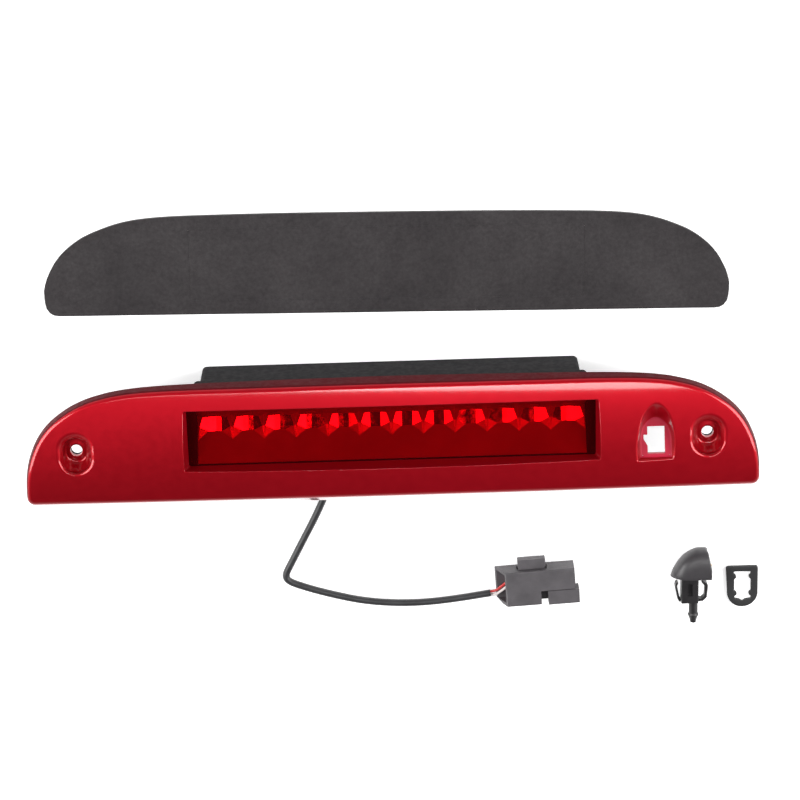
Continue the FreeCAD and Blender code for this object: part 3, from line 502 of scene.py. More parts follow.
class Skin:
    """Outer surface with a matching inner one."""

    def __init__(self):
        self.p, self.q, self.analytic, self.f = [], [], [], []

    def add(self, P, inner, analytic=None):
        at = sum(len(x) for x in self.p)
        self.p.append(np.asarray(P, float))
        self.q.append(np.asarray(inner, float))
        self.analytic.append(np.zeros((len(P), 3)) if analytic is None else np.asarray(analytic))
        return np.arange(at, at + len(P))

    def strip(self, a, b):
        self.f += strips(a, b)

    def tris(self, ids, tris):
        self.f += [tuple(ids[i] for i in t) for t in tris]


def unit(v):
    return v / np.maximum(np.linalg.norm(v, axis=-1, keepdims=True), 1e-9)


def ring_normals(rings):
    """Surface normals of a stack of rings, by differences."""
    R = np.array(rings)
    du = np.roll(R, -1, axis=1) - np.roll(R, 1, axis=1)
    dv = np.gradient(R, axis=0)
    return unit(np.cross(du, dv))


def mouth(skin, B, T, e, downs, floor_normal=None, inner_floor=None, lip=0.0):
    """An opening in the crown: walls run from loop B up towards loop T and stop at the face, with a rounded edge.
    Returns the loop on the face, and the ids of the loop at B."""
    B, T = np.asarray(B, float), np.asarray(T, float)
    s = np.full(len(B), 0.8)
    for _ in range(60):
        Pt = B + (T - B) * s[:, None]
        s = s - (Pt[:, 2] - crown(Pt[:, 0], Pt[:, 1])) / (T[:, 2] - B[:, 2]) * 0.9
    Pt = B + (T - B) * s[:, None]
    out = loop_normals(Pt[:, :2])
    w = unit(B - Pt)
    C = np.concatenate([Pt[:, :2] + out * e, np.zeros((len(Pt), 1))], 1)
    C[:, 2] = crown(C[:, 0], C[:, 1])
    W = Pt + w * e
    fil = [bezier(C, C + (Pt - C) * 0.6, W + (Pt - W) * 0.6, W, t) for t in np.linspace(0, 1, 7)]
    walls = [W + (B - W) * t for t in downs]
    rings = fil + walls
    nc = crown_normal(C[:, 0], C[:, 1])
    tang = unit(np.roll(Pt, -1, axis=0) - np.roll(Pt, 1, axis=0))
    nw = unit(np.cross(tang, w))           # faces into the opening
    mit = (nc + nw) / (1 + (nc * nw).sum(1))[:, None]
    mitre = Pt - mit * SKIN
    ids = []
    for i, r in enumerate(rings):
        if i < len(fil):
            inner, an = mitre, (nc if i == 0 else None)
        else:
            inner, an = r - nw * SKIN, None
        if i == len(rings) - 1:
            if inner_floor is not None:
                inner = inner_floor(r, nw)
        ids.append(skin.add(r, inner, an))
    for a, b in zip(ids[:-1], ids[1:]):
        skin.strip(a, b)
    return C, ids[0], ids[-1], nw


def rrect_loop(x0, x1, y0, y1, r, z, nx, ny, na):
    out = []
    for (cx, cy, a0) in ((x1 - r, y0 + r, -90), (x1 - r, y1 - r, 0), (x0 + r, y1 - r, 90), (x0 + r, y0 + r, 180)):
        for i in range(na + 1):
            a = math.radians(a0 + 90 * i / na)
            out.append((cx + r * math.cos(a), cy + r * math.sin(a)))
        side = ny if a0 in (-90, 90) else nx
        nxt = {-90: (x1, y1 - r), 0: (x0 + r, y1), 90: (x0, y0 + r), 180: (x1 - r, y0)}[a0]
        last = out[-1]
        for i in range(1, side):
            f = i / side
            out.append((last[0] + (nxt[0] - last[0]) * f, last[1] + (nxt[1] - last[1]) * f))
    return np.array([(x, y, z) for x, y in out])


def stadium(cx, cy, w, h, z, n=96):
    r, s = w / 2, h / 2 - w / 2
    out = []
    q = n // 4
    half = [(r * math.cos(a), s + r * math.sin(a)) for a in np.linspace(0, math.pi, 2 * q - 5)]
    low = [(-x, -y) for x, y in half]
    pts = half + [(-r, s - 2 * s * i / 6) for i in range(1, 6)] + low + [(r, -s + 2 * s * i / 6) for i in range(1, 6)]
    return np.array([(cx + x, cy + y, z) for x, y in pts])


NOZ = 158.3


def half_loop(half, n_side, n_base, zfun):
    """Closed loop: straight base, right curve, left curve."""
    full = [(x, y) for x, y in half] + [(-x, y) for x, y in reversed(half[:-1])]
    H = natural_spline(full, 801)[:401]
    H[-1, 0] = 0.0
    Rr = resample(H, np.linspace(0, 1, n_side + 1))
    base = np.stack([np.linspace(-half[0][0], half[0][0], n_base + 1)[:-1], np.full(n_base, half[0][1])], 1)
    left = Rr[::-1][1:-1] * (-1, 1)
    P = np.concatenate([base, Rr, left])
    P[:, 0] += NOZ
    return np.concatenate([P, np.array([zfun(y) for y in P[:, 1]])[:, None]], 1)


def seat_z(y):
    return 14.8 + (y + 11.9) * (8.0 - 14.8) / (11.3 + 11.9)


def build_lens():
    sk = Skin()
    rings = lens_rings()
    nr = ring_normals(rings)
    nc = crown_normal(rings[-1][:, 0], rings[-1][:, 1])
    nr[-1] = nc
    ids = []
    for k, r in enumerate(rings):
        inner = r - nr[k] * SKIN
        if k == 0:
            h = unit(nr[k] * (1, 1, 0))
            inner = r - h * SKIN
        inner[:, 2] = np.maximum(inner[:, 2], 2.5)
        ids.append(sk.add(r, inner, nr[k]))
    for a, b in zip(ids[:-1], ids[1:]):
        sk.strip(a, b)
    loops, loop_ids = [], []

    # window frame
    B = rrect_loop(-122.2, 122.2, -9.8, 25.4, 1.2, 12.0, 100, 18, 5)
    T = rrect_loop(-126.6, 126.6, -11.6, 28.6, 1.2, 24.0, 100, 18, 5)
    C, top, low, nw = mouth(sk, B, T, 0.35, [0.35, 0.7, 1.0],
                            inner_floor=lambda r, w: np.concatenate([r[:, :2] + loop_normals(r[:, :2]) * SKIN, r[:, 2:3]], 1))
    loops.append(C)
    loop_ids.append(top)

    # screw recesses
    for sx in (-190.0, 190.0):
        seat = [stadium(sx, 0.2, 13.2, 15.6, 5.0), stadium(sx, -0.85, 15.1, 20.8, 9.9), stadium(sx, -1.0, 15.4, 21.6, 10.6),
                stadium(sx, -0.75, 15.95, 22.2, 10.95)]
        T = stadium(sx, 1.7, 20.4, 26.4, 15.6)
        C, top, low, nw = mouth(sk, seat[3], T, 1.9, [0.5, 1.0])
        loops.append(C)
        loop_ids.append(top)
        prev = low
        for i, s in enumerate((seat[2], seat[1], seat[1] + (seat[0] - seat[1]) * 0.55, seat[0] + (seat[1] - seat[0]) * 0.12)):
            cur = sk.add(s, np.concatenate([s[:, :2] + loop_normals(s[:, :2]) * SKIN, np.maximum(s[:, 2:3] - 0.4, 2.5)], 1))
            sk.strip(prev, cur)
            prev = cur
        # floor: cove, moulded steps, then the screw hole
        c0 = seat[0][:, :2].mean(0)
        ang = np.arctan2(seat[0][:, 1] - 0.0, seat[0][:, 0] - sx)
        ring_out = seat[0]
        floor_rings = [ring_out + np.concatenate([-loop_normals(ring_out[:, :2]) * 0.45, np.full((len(ring_out), 1), 0.0)], 1)]
        hole = np.stack([sx + 3.6 * np.cos(ang), 3.6 * np.sin(ang), np.full(len(ang), 5.0)], 1)
        a = floor_rings[0]
        for f, dz in ((0.30, 0.0), (0.36, 0.10), (0.62, 0.10), (0.68, 0.22), (0.92, 0.22)):
            r = a + (hole - a) * f
            r[:, 2] = 5.0 + dz
            floor_rings.append(r)
        h1 = hole.copy()
        h1[:, 2] = 5.1
        floor_rings.append(h1)
        for r in floor_rings:
            inn = r.copy()
            inn[:, 2] = 2.5
            cur = sk.add(r, inn)
            sk.strip(prev, cur)
            prev = cur

    # nozzle pocket
    D = [(9.4, -11.9), (9.35, -4.0), (8.5, 3.0), (5.6, 8.6), (0.0, 11.3)]
    U = [(12.2, -13.6), (12.0, -2.0), (10.3, 10.0), (7.0, 21.0), (0.0, 28.4)]
    B = half_loop(D, 40, 20, seat_z)
    T = half_loop(U, 40, 20, lambda y: 18.2)
    T[:, 2] = 18.4
    nf = unit(np.array([0, 6.8, 23.2]))

    def pocket_inner(r, w):
        m = (nf + w) / (1 + (w * nf).sum(1))[:, None]
        return r - m * SKIN
    C, top, low, nw = mouth(sk, B, T, 1.0, [0.15, 0.4, 0.7, 0.9, 1.0], inner_floor=pocket_inner)
    loops.append(C)
    loop_ids.append(top)
    # seat with its lip, then the keyed hole
    Dn = loop_normals(B[:, :2])
    lip = np.concatenate([B[:, :2] - Dn * 0.5, np.zeros((len(B), 1))], 1)
    lip[:, 2] = [seat_z(y) - 0.25 for y in lip[:, 1]]
    lip2 = np.concatenate([B[:, :2] - Dn * 1.1, np.zeros((len(B), 1))], 1)
    lip2[:, 2] = [seat_z(y) - 0.30 for y in lip2[:, 1]]
    prev = low
    seat_from = len(sk.f)
    for r in (lip, lip2):
        cur = sk.add(r, r - nf * SKIN)
        sk.strip(prev, cur)
        prev = cur
    key = [(153.3, -9.75), (163.6, -9.75), (163.6, 5.9), (153.3, 5.9), (153.3, 1.1), (151.0, 1.1), (151.0, -1.6), (153.3, -5.2)]
    kp = []
    for i in range(len(key)):
        a, b = np.array(key[i]), np.array(key[(i + 1) % len(key)])
        m = max(1, int(np.linalg.norm(b - a) / 1.6))
        kp += [a + (b - a) * j / m for j in range(m)]
    kp = np.array(kp)
    kz = np.array([seat_z(y) - 0.30 for y in kp[:, 1]])
    K = np.concatenate([kp, kz[:, None]], 1)
    kin = K.copy()
    kin[:, 2] -= SKIN * 1.05
    kid = sk.add(K, kin)
    G, tris = fill(lip2, [K], 1.8, 1.8, 0.7)
    gz = np.array([seat_z(y) - 0.30 for y in G[:, 1]])
    GP = np.concatenate([G, gz[:, None]], 1)
    gid = sk.add(GP, GP - nf * SKIN)
    sk.tris(np.concatenate([prev, kid, gid]), tris)
    seat_to = len(sk.f)

    # the crowned face
    G, tris = fill(rings[-1], loops, 6.0, 3.4, 1.6)
    GP = np.concatenate([G, crown(G[:, 0], G[:, 1])[:, None]], 1)
    gn = crown_normal(G[:, 0], G[:, 1])
    gid = sk.add(GP, GP - gn * SKIN, gn)
    sk.tris(np.concatenate([ids[-1]] + loop_ids + [gid]), tris)

    P = np.concatenate(sk.p)
    Q = np.concatenate(sk.q)
    an = np.concatenate(sk.analytic)
    n = len(P)
    faces = list(sk.f)
    edge = {}
    for f in faces:
        for i in range(len(f)):
            edge[(f[i], f[(i + 1) % len(f)])] = True
    inner_faces = [tuple(i + n for i in reversed(f)) for f in faces]
    rim = [(b, a, a + n, b + n) for (a, b) in edge if (b, a) not in edge]
    verts = np.concatenate([P, Q])
    all_faces = faces + inner_faces + rim
    me = bpy.data.meshes.new("lens_cover")
    me.from_pydata([tuple(v * MM) for v in verts], [], [tuple(int(i) for i in f) for f in all_faces])
    me.materials.append(M["lens_red"])
    me.materials.append(M["lens_skirt"])
    me.materials.append(M["lens_seat"])
    per = len(rings[0])
    which = np.zeros(len(me.polygons), np.int32)
    # painted shade: the upper wall and the lower part of the rounded edge along the top arch take the darkened skirt
    # material
    for k in range(8):
        which[k * per:k * per + 260] = 1
    which[seat_from:seat_to] = 2
    me.polygons.foreach_set("material_index", which)
    me.polygons.foreach_set("use_smooth", [True] * len(me.polygons))
    me.set_sharp_from_angle(angle=math.radians(38))
    me.update()
    cn = np.zeros(len(me.loops) * 3, np.float32)
    me.corner_normals.foreach_get("vector", cn)
    cn = cn.reshape(-1, 3)
    lv = np.zeros(len(me.loops), np.int32)
    me.loops.foreach_get("vertex_index", lv)
    full = np.concatenate([an, np.zeros_like(an)])
    has = np.linalg.norm(full[lv], axis=1) > 0.5
    start = np.zeros(len(me.polygons), np.int32)
    me.polygons.foreach_get("loop_start", start)
    outer_loops = np.arange(len(lv)) < start[len(faces)]
    use = has & outer_loops
    cn[use] = full[lv][use]
    me.normals_split_custom_set([tuple(map(float, v)) for v in cn])
    o = bpy.data.objects.new("lens_cover", me)
    scene.collection.objects.link(o)
    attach(o, "lamp")
    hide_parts("outer_lens")
    return o


lens = build_lens()

# =============================================================================================
# the reflector: a smooth apron that runs into twelve faceted bays
# =============================================================================================
PITCH = 19.2


def apron_z(y):
    return 8.6 - (y + 8.4) * 0.7 if y < 0.6 else 2.3 - (y - 0.6) * 9.4 / 13.4


def build_reflector():
    V, F, I = [], [], []

    def v(x, y, z):
        V.append((x, y, z))
        return len(V) - 1

    def f(ids, m):
        F.append(tuple(ids))
        I.append(m)
    y_top, y_tip, y_low = 15.6, 2.4, 7.3
    U2 = 6.4
    spikes = [(j - 6) * PITCH for j in range(13)]
    spikes[0], spikes[12] = -116.6, 116.9

    def band(u, y):
        return 1.84 - 0.306 * (y - y_tip) - 0.2 * min(u, U2) - 0.266 * max(0.0, min(u, 9.6) - U2)
    for s in range(12):
        xc = (s - 5.5) * PITCH
        for side in (1, -1):
            xs = spikes[s] if side == 1 else spikes[s + 1]
            half = abs(xc - xs)

            def X(u):
                return xs + side * u

            def order(q):
                return list(q) if side == 1 else list(reversed(q))
            K1, K2 = (1.1, 10.1), (U2, y_low)
            t3 = np.array([0.0, y_tip, apron_z(y_tip)])
            k13 = np.array([K1[0], K1[1], band(*K1)])
            k23 = np.array([K2[0], K2[1], band(*K2)])
            nn = np.cross(k13 - t3, k23 - t3)

            def low_plane(u, y):
                return t3[2] - (nn[0] * (u - t3[0]) + nn[1] * (y - t3[1])) / nn[2]
            # lower edge of the facets: an arch from the tip, then level to the middle of the bay
            edge = [(U2 * t, y_tip + (y_low - y_tip) * t ** 0.85) for t in (0.0, 0.12, 0.28, 0.46, 0.64, 0.82, 1.0)]
            up = [v(X(u), y, low_plane(u, y)) for u, y in edge]
            k1 = v(X(K1[0]), K1[1], k13[2])
            c_low = v(X(half), y_low, band(half, y_low))
            et = v(X(U2), y_top, band(U2, y_top))
            nt = v(X(3.0), y_top, band(3.0, y_top))
            ct = v(X(half), y_top, band(half, y_top))
            n0 = v(X(0.0), 10.0, band(0.0, 10.0) - 0.5)
            nb = v(X(0.0), y_top, band(0.0, y_top) - 3.4)
            for i in range(len(up) - 1):
                f(order([k1, up[i], up[i + 1]]), 2)
            f(order([up[0], k1, n0]), 2)
            f(order([k1, up[-1], et, nt]), 0)
            f(order([up[-1], c_low, ct, et]), 0)
            f(order([n0, k1, nt]), 1)
            f(order([n0, nt, nb]), 1)
            # apron, running up to the arch; a low step closes it to the facets
            plan = edge + [(half, y_low)]
            n_rows = 8
            cols = [[v(X(u), -8.4 + (y + 8.4) * r / n_rows, apron_z(-8.4 + (y + 8.4) * r / n_rows)) for r in range(n_rows + 1)] for u, y in plan]
            for i in range(len(plan) - 1):
                for r in range(n_rows):
                    f(order([cols[i][r], cols[i + 1][r], cols[i + 1][r + 1], cols[i][r + 1]]), 1)
            top = up + [c_low]
            for i in range(len(plan) - 1):
                f(order([cols[i][-1], cols[i + 1][-1], top[i + 1], top[i]]), 1)
            # riser behind the facets, with the opening for the LED
            us = [0.0, 3.0, U2, half]
            ts = [0.0, 0.25, 0.5, 1.0]
            first = [nb, nt, et, ct]
            grid = []
            for i, u in enumerate(us):
                base = V[first[i]][2]
                grid.append([first[i] if j == 0 else v(X(u), y_top + (25.2 - y_top) * t, base + (9.7 - base) * t) for j, t in enumerate(ts)])
            for i in range(3):
                for j in range(3):
                    if i == 2 and j == 1:
                        continue
                    f(order([grid[i][j], grid[i + 1][j], grid[i + 1][j + 1], grid[i][j + 1]]), 1)
    # front lip and the land along the head of the bays
    x0, x1 = spikes[0], spikes[12]
    f([v(x0, -9.6, 9.5), v(x1, -9.6, 9.5), v(x1, -8.4, 8.6), v(x0, -8.4, 8.6)], 1)
    f([v(x0, -9.6, -9.0), v(x1, -9.6, -9.0), v(x1, -9.6, 9.5), v(x0, -9.6, 9.5)], 1)
    f([v(x0, 25.2, 9.7), v(x1, 25.2, 9.7), v(x1, 26.0, 9.7), v(x0, 26.0, 9.7)], 1)
    o = new_mesh("reflector_facets", V, F, [M["reflector_bright"], M["reflector_base"], M["reflector_mid"]], "lamp", I, smooth=False)
    bm = bmesh.new()
    bm.from_mesh(o.data)
    bmesh.ops.remove_doubles(bm, verts=bm.verts, dist=0.00002)
    bm.to_mesh(o.data)
    bm.free()
    # the moulded sheet has its thickness behind the faces
    so_ = o.modifiers.new("sheet", "SOLIDIFY")
    so_.thickness = 1.0 * MM
    so_.offset = -1.0
    # end plates of the tray
    for sx in (-1, 1):
        xa, xb = sorted((sx * 116.75, sx * 117.0))
        prof_ = [(-9.6, 9.5), (-8.4, 8.6), (0.6, 2.3), (15.6, -6.0), (25.2, 9.7), (26.0, 9.7), (26.0, -12.0), (20.0, -19.6), (-4.0, -19.6), (-9.6, -12.0)]
        vv = [(x, y, z) for x in (xa, xb) for y, z in prof_]
        n = len(prof_)
        ff = [tuple(range(n)), tuple(range(2 * n - 1, n - 1, -1))]
        ff += [(i, i + n, (i + 1) % n + n, (i + 1) % n) for i in range(n)]
        new_mesh("reflector_end_" + ("l" if sx < 0 else "r"), vv, ff, [M["reflector_base"]], "lamp", smooth=False, outward=True)
    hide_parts("reflector_tray")
    return o


reflector = build_reflector()

# =============================================================================================
# flat foam and rubber pieces
# =============================================================================================


def slab(name, outer, holes, z0, z1, edge, mats, body, step=5.0, wave=None, to_world=None, hole_edge=None):
    """A flat sheet with softly rounded edges. Loops in plan, counter-clockwise, in the piece's own frame."""
    loops = [np.asarray(outer, float)] + [np.asarray(h, float) for h in holes]
    V, F = [], []

    def add(P):
        at = len(V)
        V.extend(map(tuple, P))
        return list(range(at, at + len(P)))
    tops, bots = [], []
    for li, L in enumerate(loops):
        n = loop_normals(L) * (1 if li == 0 else -1)
        e = edge if li == 0 or hole_edge is None else hole_edge
        stack = []
        for a in (90, 60, 30, 0):
            r = math.radians(a)
            off = -e * (1 - math.cos(r))
            z = z1 - e * (1 - math.sin(r))
            stack.append(np.concatenate([L + n * off, np.full((len(L), 1), z)], 1))
        stack[0][:, :2] = L - n * e
        for a in (0, 45, 90):
            r = math.radians(a)
            e2 = e * 0.6
            stack.append(np.concatenate([L - n * e2 * (1 - math.cos(r)), np.full((len(L), 1), z0 + e2 * (1 - math.sin(r)))], 1))
        ids = [add(s) for s in stack]
        for a, b in zip(ids[:-1], ids[1:]):
            for q in strips(b, a):
                F.append(q if li == 0 else tuple(reversed(q)))
        tops.append((stack[0], ids[0]))
        bots.append((stack[-1], ids[-1]))
    for which, z in ((tops, z1), (bots, z0)):
        G, tris = fill(which[0][0], [w[0] for w in which[1:]], step, step, step * 0.4)
        gid = add(np.concatenate([G, np.full((len(G), 1), z)], 1)) if len(G) else []
        ids = sum([w[1] for w in which], []) + gid
        for t in tris:
            q = tuple(ids[i] for i in t)
            F.append(q if z == z1 else tuple(reversed(q)))
    P = np.array(V)
    if wave is not None:
        P = wave(P)
    if to_world is not None:
        P = to_world(P)
    return new_mesh(name, P, F, mats, body, sharp=50)


FO = [(209.3, 16.5), (206.9, 24.6), (204.6, 29.2), (202.5, 32.9), (200.3, 36.0), (197.1, 39.7), (190.8, 45.2), (184.5, 49.4), (178.1, 52.5),
      (171.8, 55.0), (165.5, 57.2), (159.4, 58.8), (153.3, 60.0), (141.3, 61.4), (111.3, 62.6), (70.0, 63.2), (0.0, 63.4)]


def foam_outline():
    pts = FO + [(-x, y) for x, y in reversed(FO[:-1])]
    D = resample(natural_spline(pts, 1500), np.linspace(0, 1, 240))
    x0, y0 = pts[-1]
    out = list(map(tuple, D))
    left = [(x0 + 0.0, 12.0), (x0 + 0.3, 8.0), (x0 + 1.0, 4.8), (x0 + 2.9, 2.0), (x0 + 5.4, 0.5), (x0 + 8.5, 0.0)]
    out += left
    xs = np.linspace(x0 + 8.5, -(x0 + 8.5), 110)[1:-1]
    out += [(x, 0.0) for x in xs]
    out += [(-x, y) for x, y in reversed(left)]
    return np.array(out)


def foam_world(P):
    a = math.radians(-1.0)
    c, s = math.cos(a), math.sin(a)
    return np.stack([-0.6 + P[:, 0] * c - P[:, 1] * s, 64.5 + P[:, 0] * s + P[:, 1] * c, P[:, 2] - 50.0], 1)


def foam_wave(P):
    """Slight hand-flattened unevenness of the upper face, never above the sheet's own height."""
    Q = P.copy()
    top = P[:, 2] > 2.2
    w = 0.10 * (1 + np.sin(P[:, 0] / 23.0 + 0.7) * np.cos(P[:, 1] / 17.0)) + 0.07 * (1 + np.sin(P[:, 0] / 9.0 + P[:, 1] / 12.0))
    crease = 0.5 * np.exp(-((P[:, 1] - 17.5 - (P[:, 0] + 160) * 0.02) / 0.8) ** 2) * np.clip(1 - np.abs((P[:, 0] + 158) / 14.0), 0, 1)
    Q[:, 2] -= np.where(top, w + crease, 0)
    return Q


KX, KY0, KY1 = 120.2, 9.0, 54.6
cut_loop = rrect_loop(-KX, KX, KY0, KY1, 2.0, 0, 60, 12, 4)[:, :2]
knock = rrect_loop(-KX + 0.08, KX - 0.08, KY0 + 0.08, KY1 - 0.08, 2.0, 0, 60, 12, 4)[:, :2]
gasket = slab("gasket_foam", foam_outline(), [cut_loop], 0.3, 3.3, 0.55, [M["foam_black"]], "foam_gasket", 4.0, foam_wave, foam_world, hole_edge=0.10)
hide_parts("foam_gasket")
knockout = slab("knockout_foam", knock, [], 0.3, 3.3, 0.10, [M["foam_black"]], "foam_knockout", 4.0, foam_wave, foam_world)
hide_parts("foam_knockout")


def seal_loops():
    cx, top, bot, hw = 220.4, -113.0, -141.0, 10.2
    out = []
    # straight top with small corners, straight sides, round foot
    foot = []
    a, b, c = np.array((cx + hw, -130.4)), np.array((cx + 0.6, bot)), np.array((cx - hw + 1.0, -130.4))
    m = np.linalg.solve(2 * np.array([b - a, c - a]), np.array([b @ b - a @ a, c @ c - a @ a]))
    r = np.linalg.norm(a - m)
    a0 = math.atan2(a[1] - m[1], a[0] - m[0])
    a1 = math.atan2(c[1] - m[1], c[0] - m[0]) % TAU
    foot = [(m[0] + r * math.cos(t), m[1] + r * math.sin(t)) for t in np.linspace(a1, a0 % TAU if a0 % TAU > a1 else a0 % TAU + TAU, 33)]
    out += foot
    out += [(cx + hw, y) for y in np.linspace(-130.4, top - 1.6, 10)[1:]]
    out += [(cx + hw - 1.6 + 1.6 * math.cos(t), top - 1.6 + 1.6 * math.sin(t)) for t in np.linspace(0, math.pi / 2, 6)[1:]]
    out += [(x, top) for x in np.linspace(cx + hw - 1.6, cx - hw + 1.6, 9)[1:]]
    out += [(cx - hw + 1.6 + 1.6 * math.cos(t), top - 1.6 + 1.6 * math.sin(t)) for t in np.linspace(math.pi / 2, math.pi, 6)[1:]]
    out += [(cx - hw + 1.0 * f, top - 1.6 + (-130.4 - top + 1.6) * f) for f in np.linspace(0, 1, 10)[1:-1]]
    key = [(215.2, -116.4), (226.0, -116.6), (226.1, -118.4), (224.9, -119.6), (224.9, -121.0), (226.2, -122.0), (226.3, -130.2), (225.0, -131.2), (225.0, -132.8),
           (226.5, -133.8), (226.3, -135.6), (222.4, -136.2), (220.9, -137.6), (219.4, -136.2), (216.2, -135.4), (215.8, -133.6), (217.2, -132.6), (217.2, -131.0),
           (215.7, -130.0), (215.5, -121.8), (216.8, -120.8), (216.8, -119.4), (215.3, -118.2)]
    key = key[::-1]
    # soften each corner of the opening
    k2 = []
    K = np.array(key, float)
    for i in range(len(K)):
        p, q, s = K[i - 1], K[i], K[(i + 1) % len(K)]
        d1, d2 = p - q, s - q
        l = min(0.45, np.linalg.norm(d1) * 0.4, np.linalg.norm(d2) * 0.4)
        p1, p2 = q + d1 / np.linalg.norm(d1) * l, q + d2 / np.linalg.norm(d2) * l
        for t in (0, 0.5, 1):
            k2.append((1 - t) ** 2 * p1 + 2 * t * (1 - t) * q + t * t * p2)
    return np.array(out), np.array(k2)


def ccw(L):
    a = 0.5 * np.sum(L[:, 0] * np.roll(L[:, 1], -1) - np.roll(L[:, 0], -1) * L[:, 1])
    return L if a > 0 else L[::-1]


so, sk_ = seal_loops()
so, sk_ = ccw(so), ccw(sk_)
seal = slab("seal_ring", so, [sk_], -50.0, -47.4, 0.45, [M["rubber_black"]], "nozzle_seal", 1.6, hole_edge=0.3)
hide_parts("nozzle_seal")

# =============================================================================================
# hard mouldings: the CAD solids with their edges broken
# =============================================================================================


def soften(node, width, segments=3, angle=28.0):
    o = N[node]
    w = o.modifiers.new("join", "WELD")
    w.merge_threshold = 0.000004
    b = o.modifiers.new("edges", "BEVEL")
    b.width = width * MM
    b.segments = segments
    b.limit_method = "ANGLE"
    b.angle_limit = math.radians(angle)
    b.harden_normals = False
    b.use_clamp_overlap = True
    wn = o.modifiers.new("shade", "WEIGHTED_NORMAL")
    wn.keep_sharp = False
    return o


for node, width in (("connector_housing", 0.45), ("connector_latch", 0.45), ("connector_lock_slide", 0.5), ("nozzle_clip_left", 0.3),
                    ("nozzle_clip_right", 0.3), ("nozzle_body", 0.3), ("rear_housing", 0.5)):
    soften(node, width)

# =============================================================================================
# the nozzle hood: a smooth dome on a D-shaped foot, with a flat raked end around the jet
# =============================================================================================
HX0, HX1, HY, HZ, HH = 173.9, 199.3, -114.6, -40.5, 18.2


def hood_end(h):
    """X of the flat end at a height above the foot."""
    return float(np.interp(h, [0.0, 6.5, 16.6, 18.2], [HX1, HX1, HX1 - 2.0, HX1 - 3.4]))


def build_hood():
    wp = [(0.0, 0.0), (2.2, 4.9), (7.6, 8.5), (15.0, 9.35), (25.4, 9.4)]
    W = natural_spline([(x, -w) for x, w in reversed(wp[1:])] + wp, 1601)[800:]
    Hc = natural_spline([(-0.4, -0.1), (1.2, 3.2), (4.6, 8.6), (9.6, 13.8), (15.0, 16.8), (19.4, 18.1), (25.4, 18.2)], 1200)

    def width(d):
        return float(np.interp(d, W[:, 0], np.minimum(W[:, 1], 9.38)))

    def height(d):
        return float(min(HH, np.interp(d, Hc[:, 0], Hc[:, 1])) * min(1.0, math.sqrt(max(d, 0.0) / 1.6)))
    L = HX1 - HX0
    m, p = 40, 2.5
    phis = np.linspace(0, math.pi, m + 1)

    def section(d):
        w, h = width(d), max(0.25, height(d))
        b = min(0.35, w * 0.3, h * 0.3)
        out = []
        for ph in phis:
            c, s_ = math.cos(ph), math.sin(ph)
            out.append((max(b, h * s_ ** (2 / p)) if 0 < ph < math.pi else b, w * math.copysign(abs(c) ** (2 / p), c)))
        out += [(b * 0.3, -(w - b * 0.3)), (0.0, -(w - b))] + [(0.0, -(w - b) * (1 - 2 * k / 6)) for k in range(1, 6)] + [(0.0, w - b), (b * 0.3, w - b * 0.3)]
        return np.array(out)
    V, F = [(HX0, HY + 0.2, HZ)], []
    rings = []
    n_s = 44
    for i in range(1, n_s + 1):
        t = (i / n_s) ** 1.7
        sec = section(t * L)
        x = np.array([HX0 + t * (hood_end(h) - 0.75 - HX0) for h in sec[:, 0]])
        rings.append(np.stack([x, HY + sec[:, 0], HZ + sec[:, 1]], 1))
    last = section(L)
    jy = 6.2
    mid = np.array([8.2, 0.0])
    for a in (25, 50, 75, 90):
        r = math.radians(a)
        d = mid - last
        q = last + d / np.linalg.norm(d, axis=1)[:, None] * 0.75 * (1 - math.cos(r))
        x = np.array([hood_end(h) - 0.75 + 0.75 * math.sin(r) for h in q[:, 0]])
        rings.append(np.stack([x, HY + q[:, 0], HZ + q[:, 1]], 1))
        cap = q
    ang = np.arctan2(cap[:, 1], cap[:, 0] - jy)
    hole = np.stack([jy + 2.35 * np.cos(ang), 2.35 * np.sin(ang)], 1)
    for f_ in (0.3, 0.6, 0.85, 1.0):
        q = cap + (hole - cap) * f_
        x = np.array([hood_end(h) for h in q[:, 0]])
        rings.append(np.stack([x, HY + q[:, 0], HZ + q[:, 1]], 1))
    for r_, dx in ((2.2, 0.25), (2.0, 0.9), (2.0, 2.0), (1.4, 3.0)):
        rings.append(np.stack([np.full(len(ang), HX1 - dx), HY + jy + r_ * np.cos(ang), HZ + r_ * np.sin(ang)], 1))
    at = []
    for r in rings:
        at.append(list(range(len(V), len(V) + len(r))))
        V += [tuple(q) for q in r]
    n = len(at[0])
    for j in range(n):
        F.append((0, at[0][j], at[0][(j + 1) % n]))
    for a, b in zip(at[:-1], at[1:]):
        F += [(a[(j + 1) % n], a[j], b[j], b[(j + 1) % n]) for j in range(n)]
    V.append((HX1 - 3.3, HY + jy, HZ))
    for j in range(n):
        F.append((len(V) - 1, at[-1][(j + 1) % n], at[-1][j]))
    o = new_mesh("hood_shell", V, F, [M["hood_black"]], "washer_nozzle", sharp=42, outward=True)
    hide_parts("nozzle_hood")
    return o


hood = build_hood()

# =============================================================================================
# the free cable
# =============================================================================================
CZ = -50.0 + 2.25 + 0.05
ROUTE = [(-38.0, -8.9, -36.0), (-38.0, -23.5, -36.0), (-38.4, -36.0, -37.4), (-40.2, -46.5, -43.6), (-43.8, -56.5, CZ + 0.5),
         (-50.8, -71.5, CZ), (-59.6, -88.0, CZ), (-66.6, -101.5, CZ), (-70.6, -109.0, CZ), (-69.4, -113.6, CZ), (-61.0, -117.4, CZ),
         (-44.0, -123.2, CZ), (-19.5, -129.6, CZ), (7.5, -131.8, CZ), (34.0, -130.2, CZ), (59.7, -126.2, CZ)]


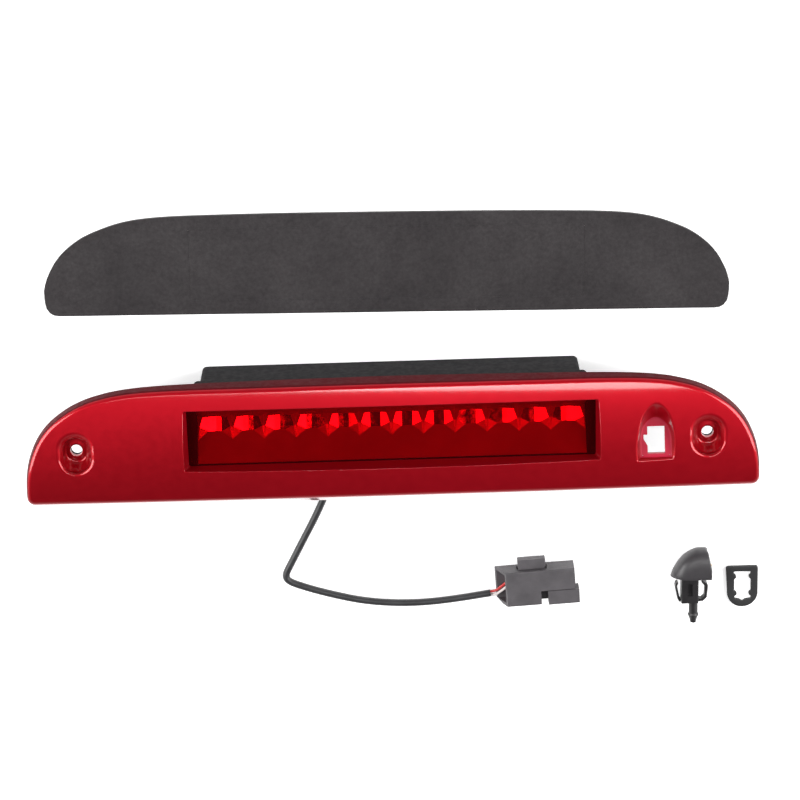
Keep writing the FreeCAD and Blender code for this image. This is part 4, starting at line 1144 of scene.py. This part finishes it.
def cord_curve(name, route, radius, mat):
    cu = bpy.data.curves.new(name, "CURVE")
    cu.dimensions = "3D"
    sp = cu.splines.new("NURBS")
    sp.points.add(len(route) - 1)
    for p, c in zip(sp.points, route):
        p.co = (c[0] * MM, c[1] * MM, c[2] * MM, 1.0)
    sp.order_u = 3
    sp.use_endpoint_u = True
    sp.resolution_u = 24
    cu.resolution_u = 24
    cu.bevel_depth = radius * MM
    cu.bevel_resolution = 6
    cu.use_fill_caps = True
    cu.materials.append(mat)
    o = bpy.data.objects.new(name, cu)
    scene.collection.objects.link(o)
    return o


cable = cord_curve("cable", ROUTE, 2.25, M["sheath_black"])
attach(cable, "lamp")
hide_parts("cable_sheath")

# =============================================================================================
# studio
# =============================================================================================


def stage_mat(name, base):
    t = Tree(name)
    t.link(t.ramp(t.noise(3, 2), [(0.3, col(base, 0.99)), (0.7, col(base))]), t.b.inputs["Base Color"])
    t.b.inputs["Roughness"].default_value = 0.9
    t.b.inputs["Specular IOR Level"].default_value = 0.1
    t.b.inputs["Emission Color"].default_value = (1, 1, 1, 1)
    t.b.inputs["Emission Strength"].default_value = 0.45
    return t.m


fl = bpy.data.meshes.new("floor")
S = 4.0
fl.from_pydata([(-S, -S, -0.05), (S, -S, -0.05), (S, S, -0.05), (-S, S, -0.05)], [], [(0, 1, 2, 3)])
fl.materials.append(stage_mat("floor_white", (0.93, 0.93, 0.93)))
floor = bpy.data.objects.new("floor", fl)
scene.collection.objects.link(floor)

world = bpy.data.worlds.new("studio")
scene.world = world
world.use_nodes = True
bg = world.node_tree.nodes["Background"]
bg.inputs["Color"].default_value = (1.0, 1.0, 1.0, 1)
w = world.node_tree
wc, wz, wr = w.nodes.new("ShaderNodeTexCoord"), w.nodes.new("ShaderNodeSeparateXYZ"), w.nodes.new("ShaderNodeMapRange")
w.links.new(wc.outputs["Generated"], wz.inputs["Vector"])
w.links.new(wz.outputs["Z"], wr.inputs["Value"])
for key, value in (("From Min", 0.30), ("From Max", 0.60), ("To Min", 0.42), ("To Max", 0.03)):
    wr.inputs[key].default_value = value
w.links.new(wr.outputs["Result"], bg.inputs["Strength"])


def softbox(name, pos, target, sx, sy, power):
    d = bpy.data.lights.new(name, "AREA")
    d.shape = "RECTANGLE"
    d.size, d.size_y = sx, sy
    d.energy = power
    o = bpy.data.objects.new(name, d)
    o.location = pos
    v = Vector(target) - Vector(pos)
    o.rotation_mode = "QUATERNION"
    o.rotation_quaternion = v.to_track_quat("-Z", "Y")
    o.visible_camera = False
    scene.collection.objects.link(o)
    return o


softbox("side_left", (-1.35, 0.15, 0.95), (0, 0, 0), 1.3, 1.1, 30)
softbox("side_right", (1.35, 0.15, 0.95), (0, 0, 0), 1.3, 1.1, 30)
softbox("strip_long", (0.0, 0.249, 1.0), (0.0, 0.0, 0.0), 0.90, 0.088, 1.5)
strip = softbox("strip_right", (0.165, 0.222, 1.0), (0.0, 0.0, 0.0), 0.61, 0.105, 2.0)
strip.rotation_quaternion = Matrix.Rotation(math.radians(-10.5), 3, "Z").to_quaternion()
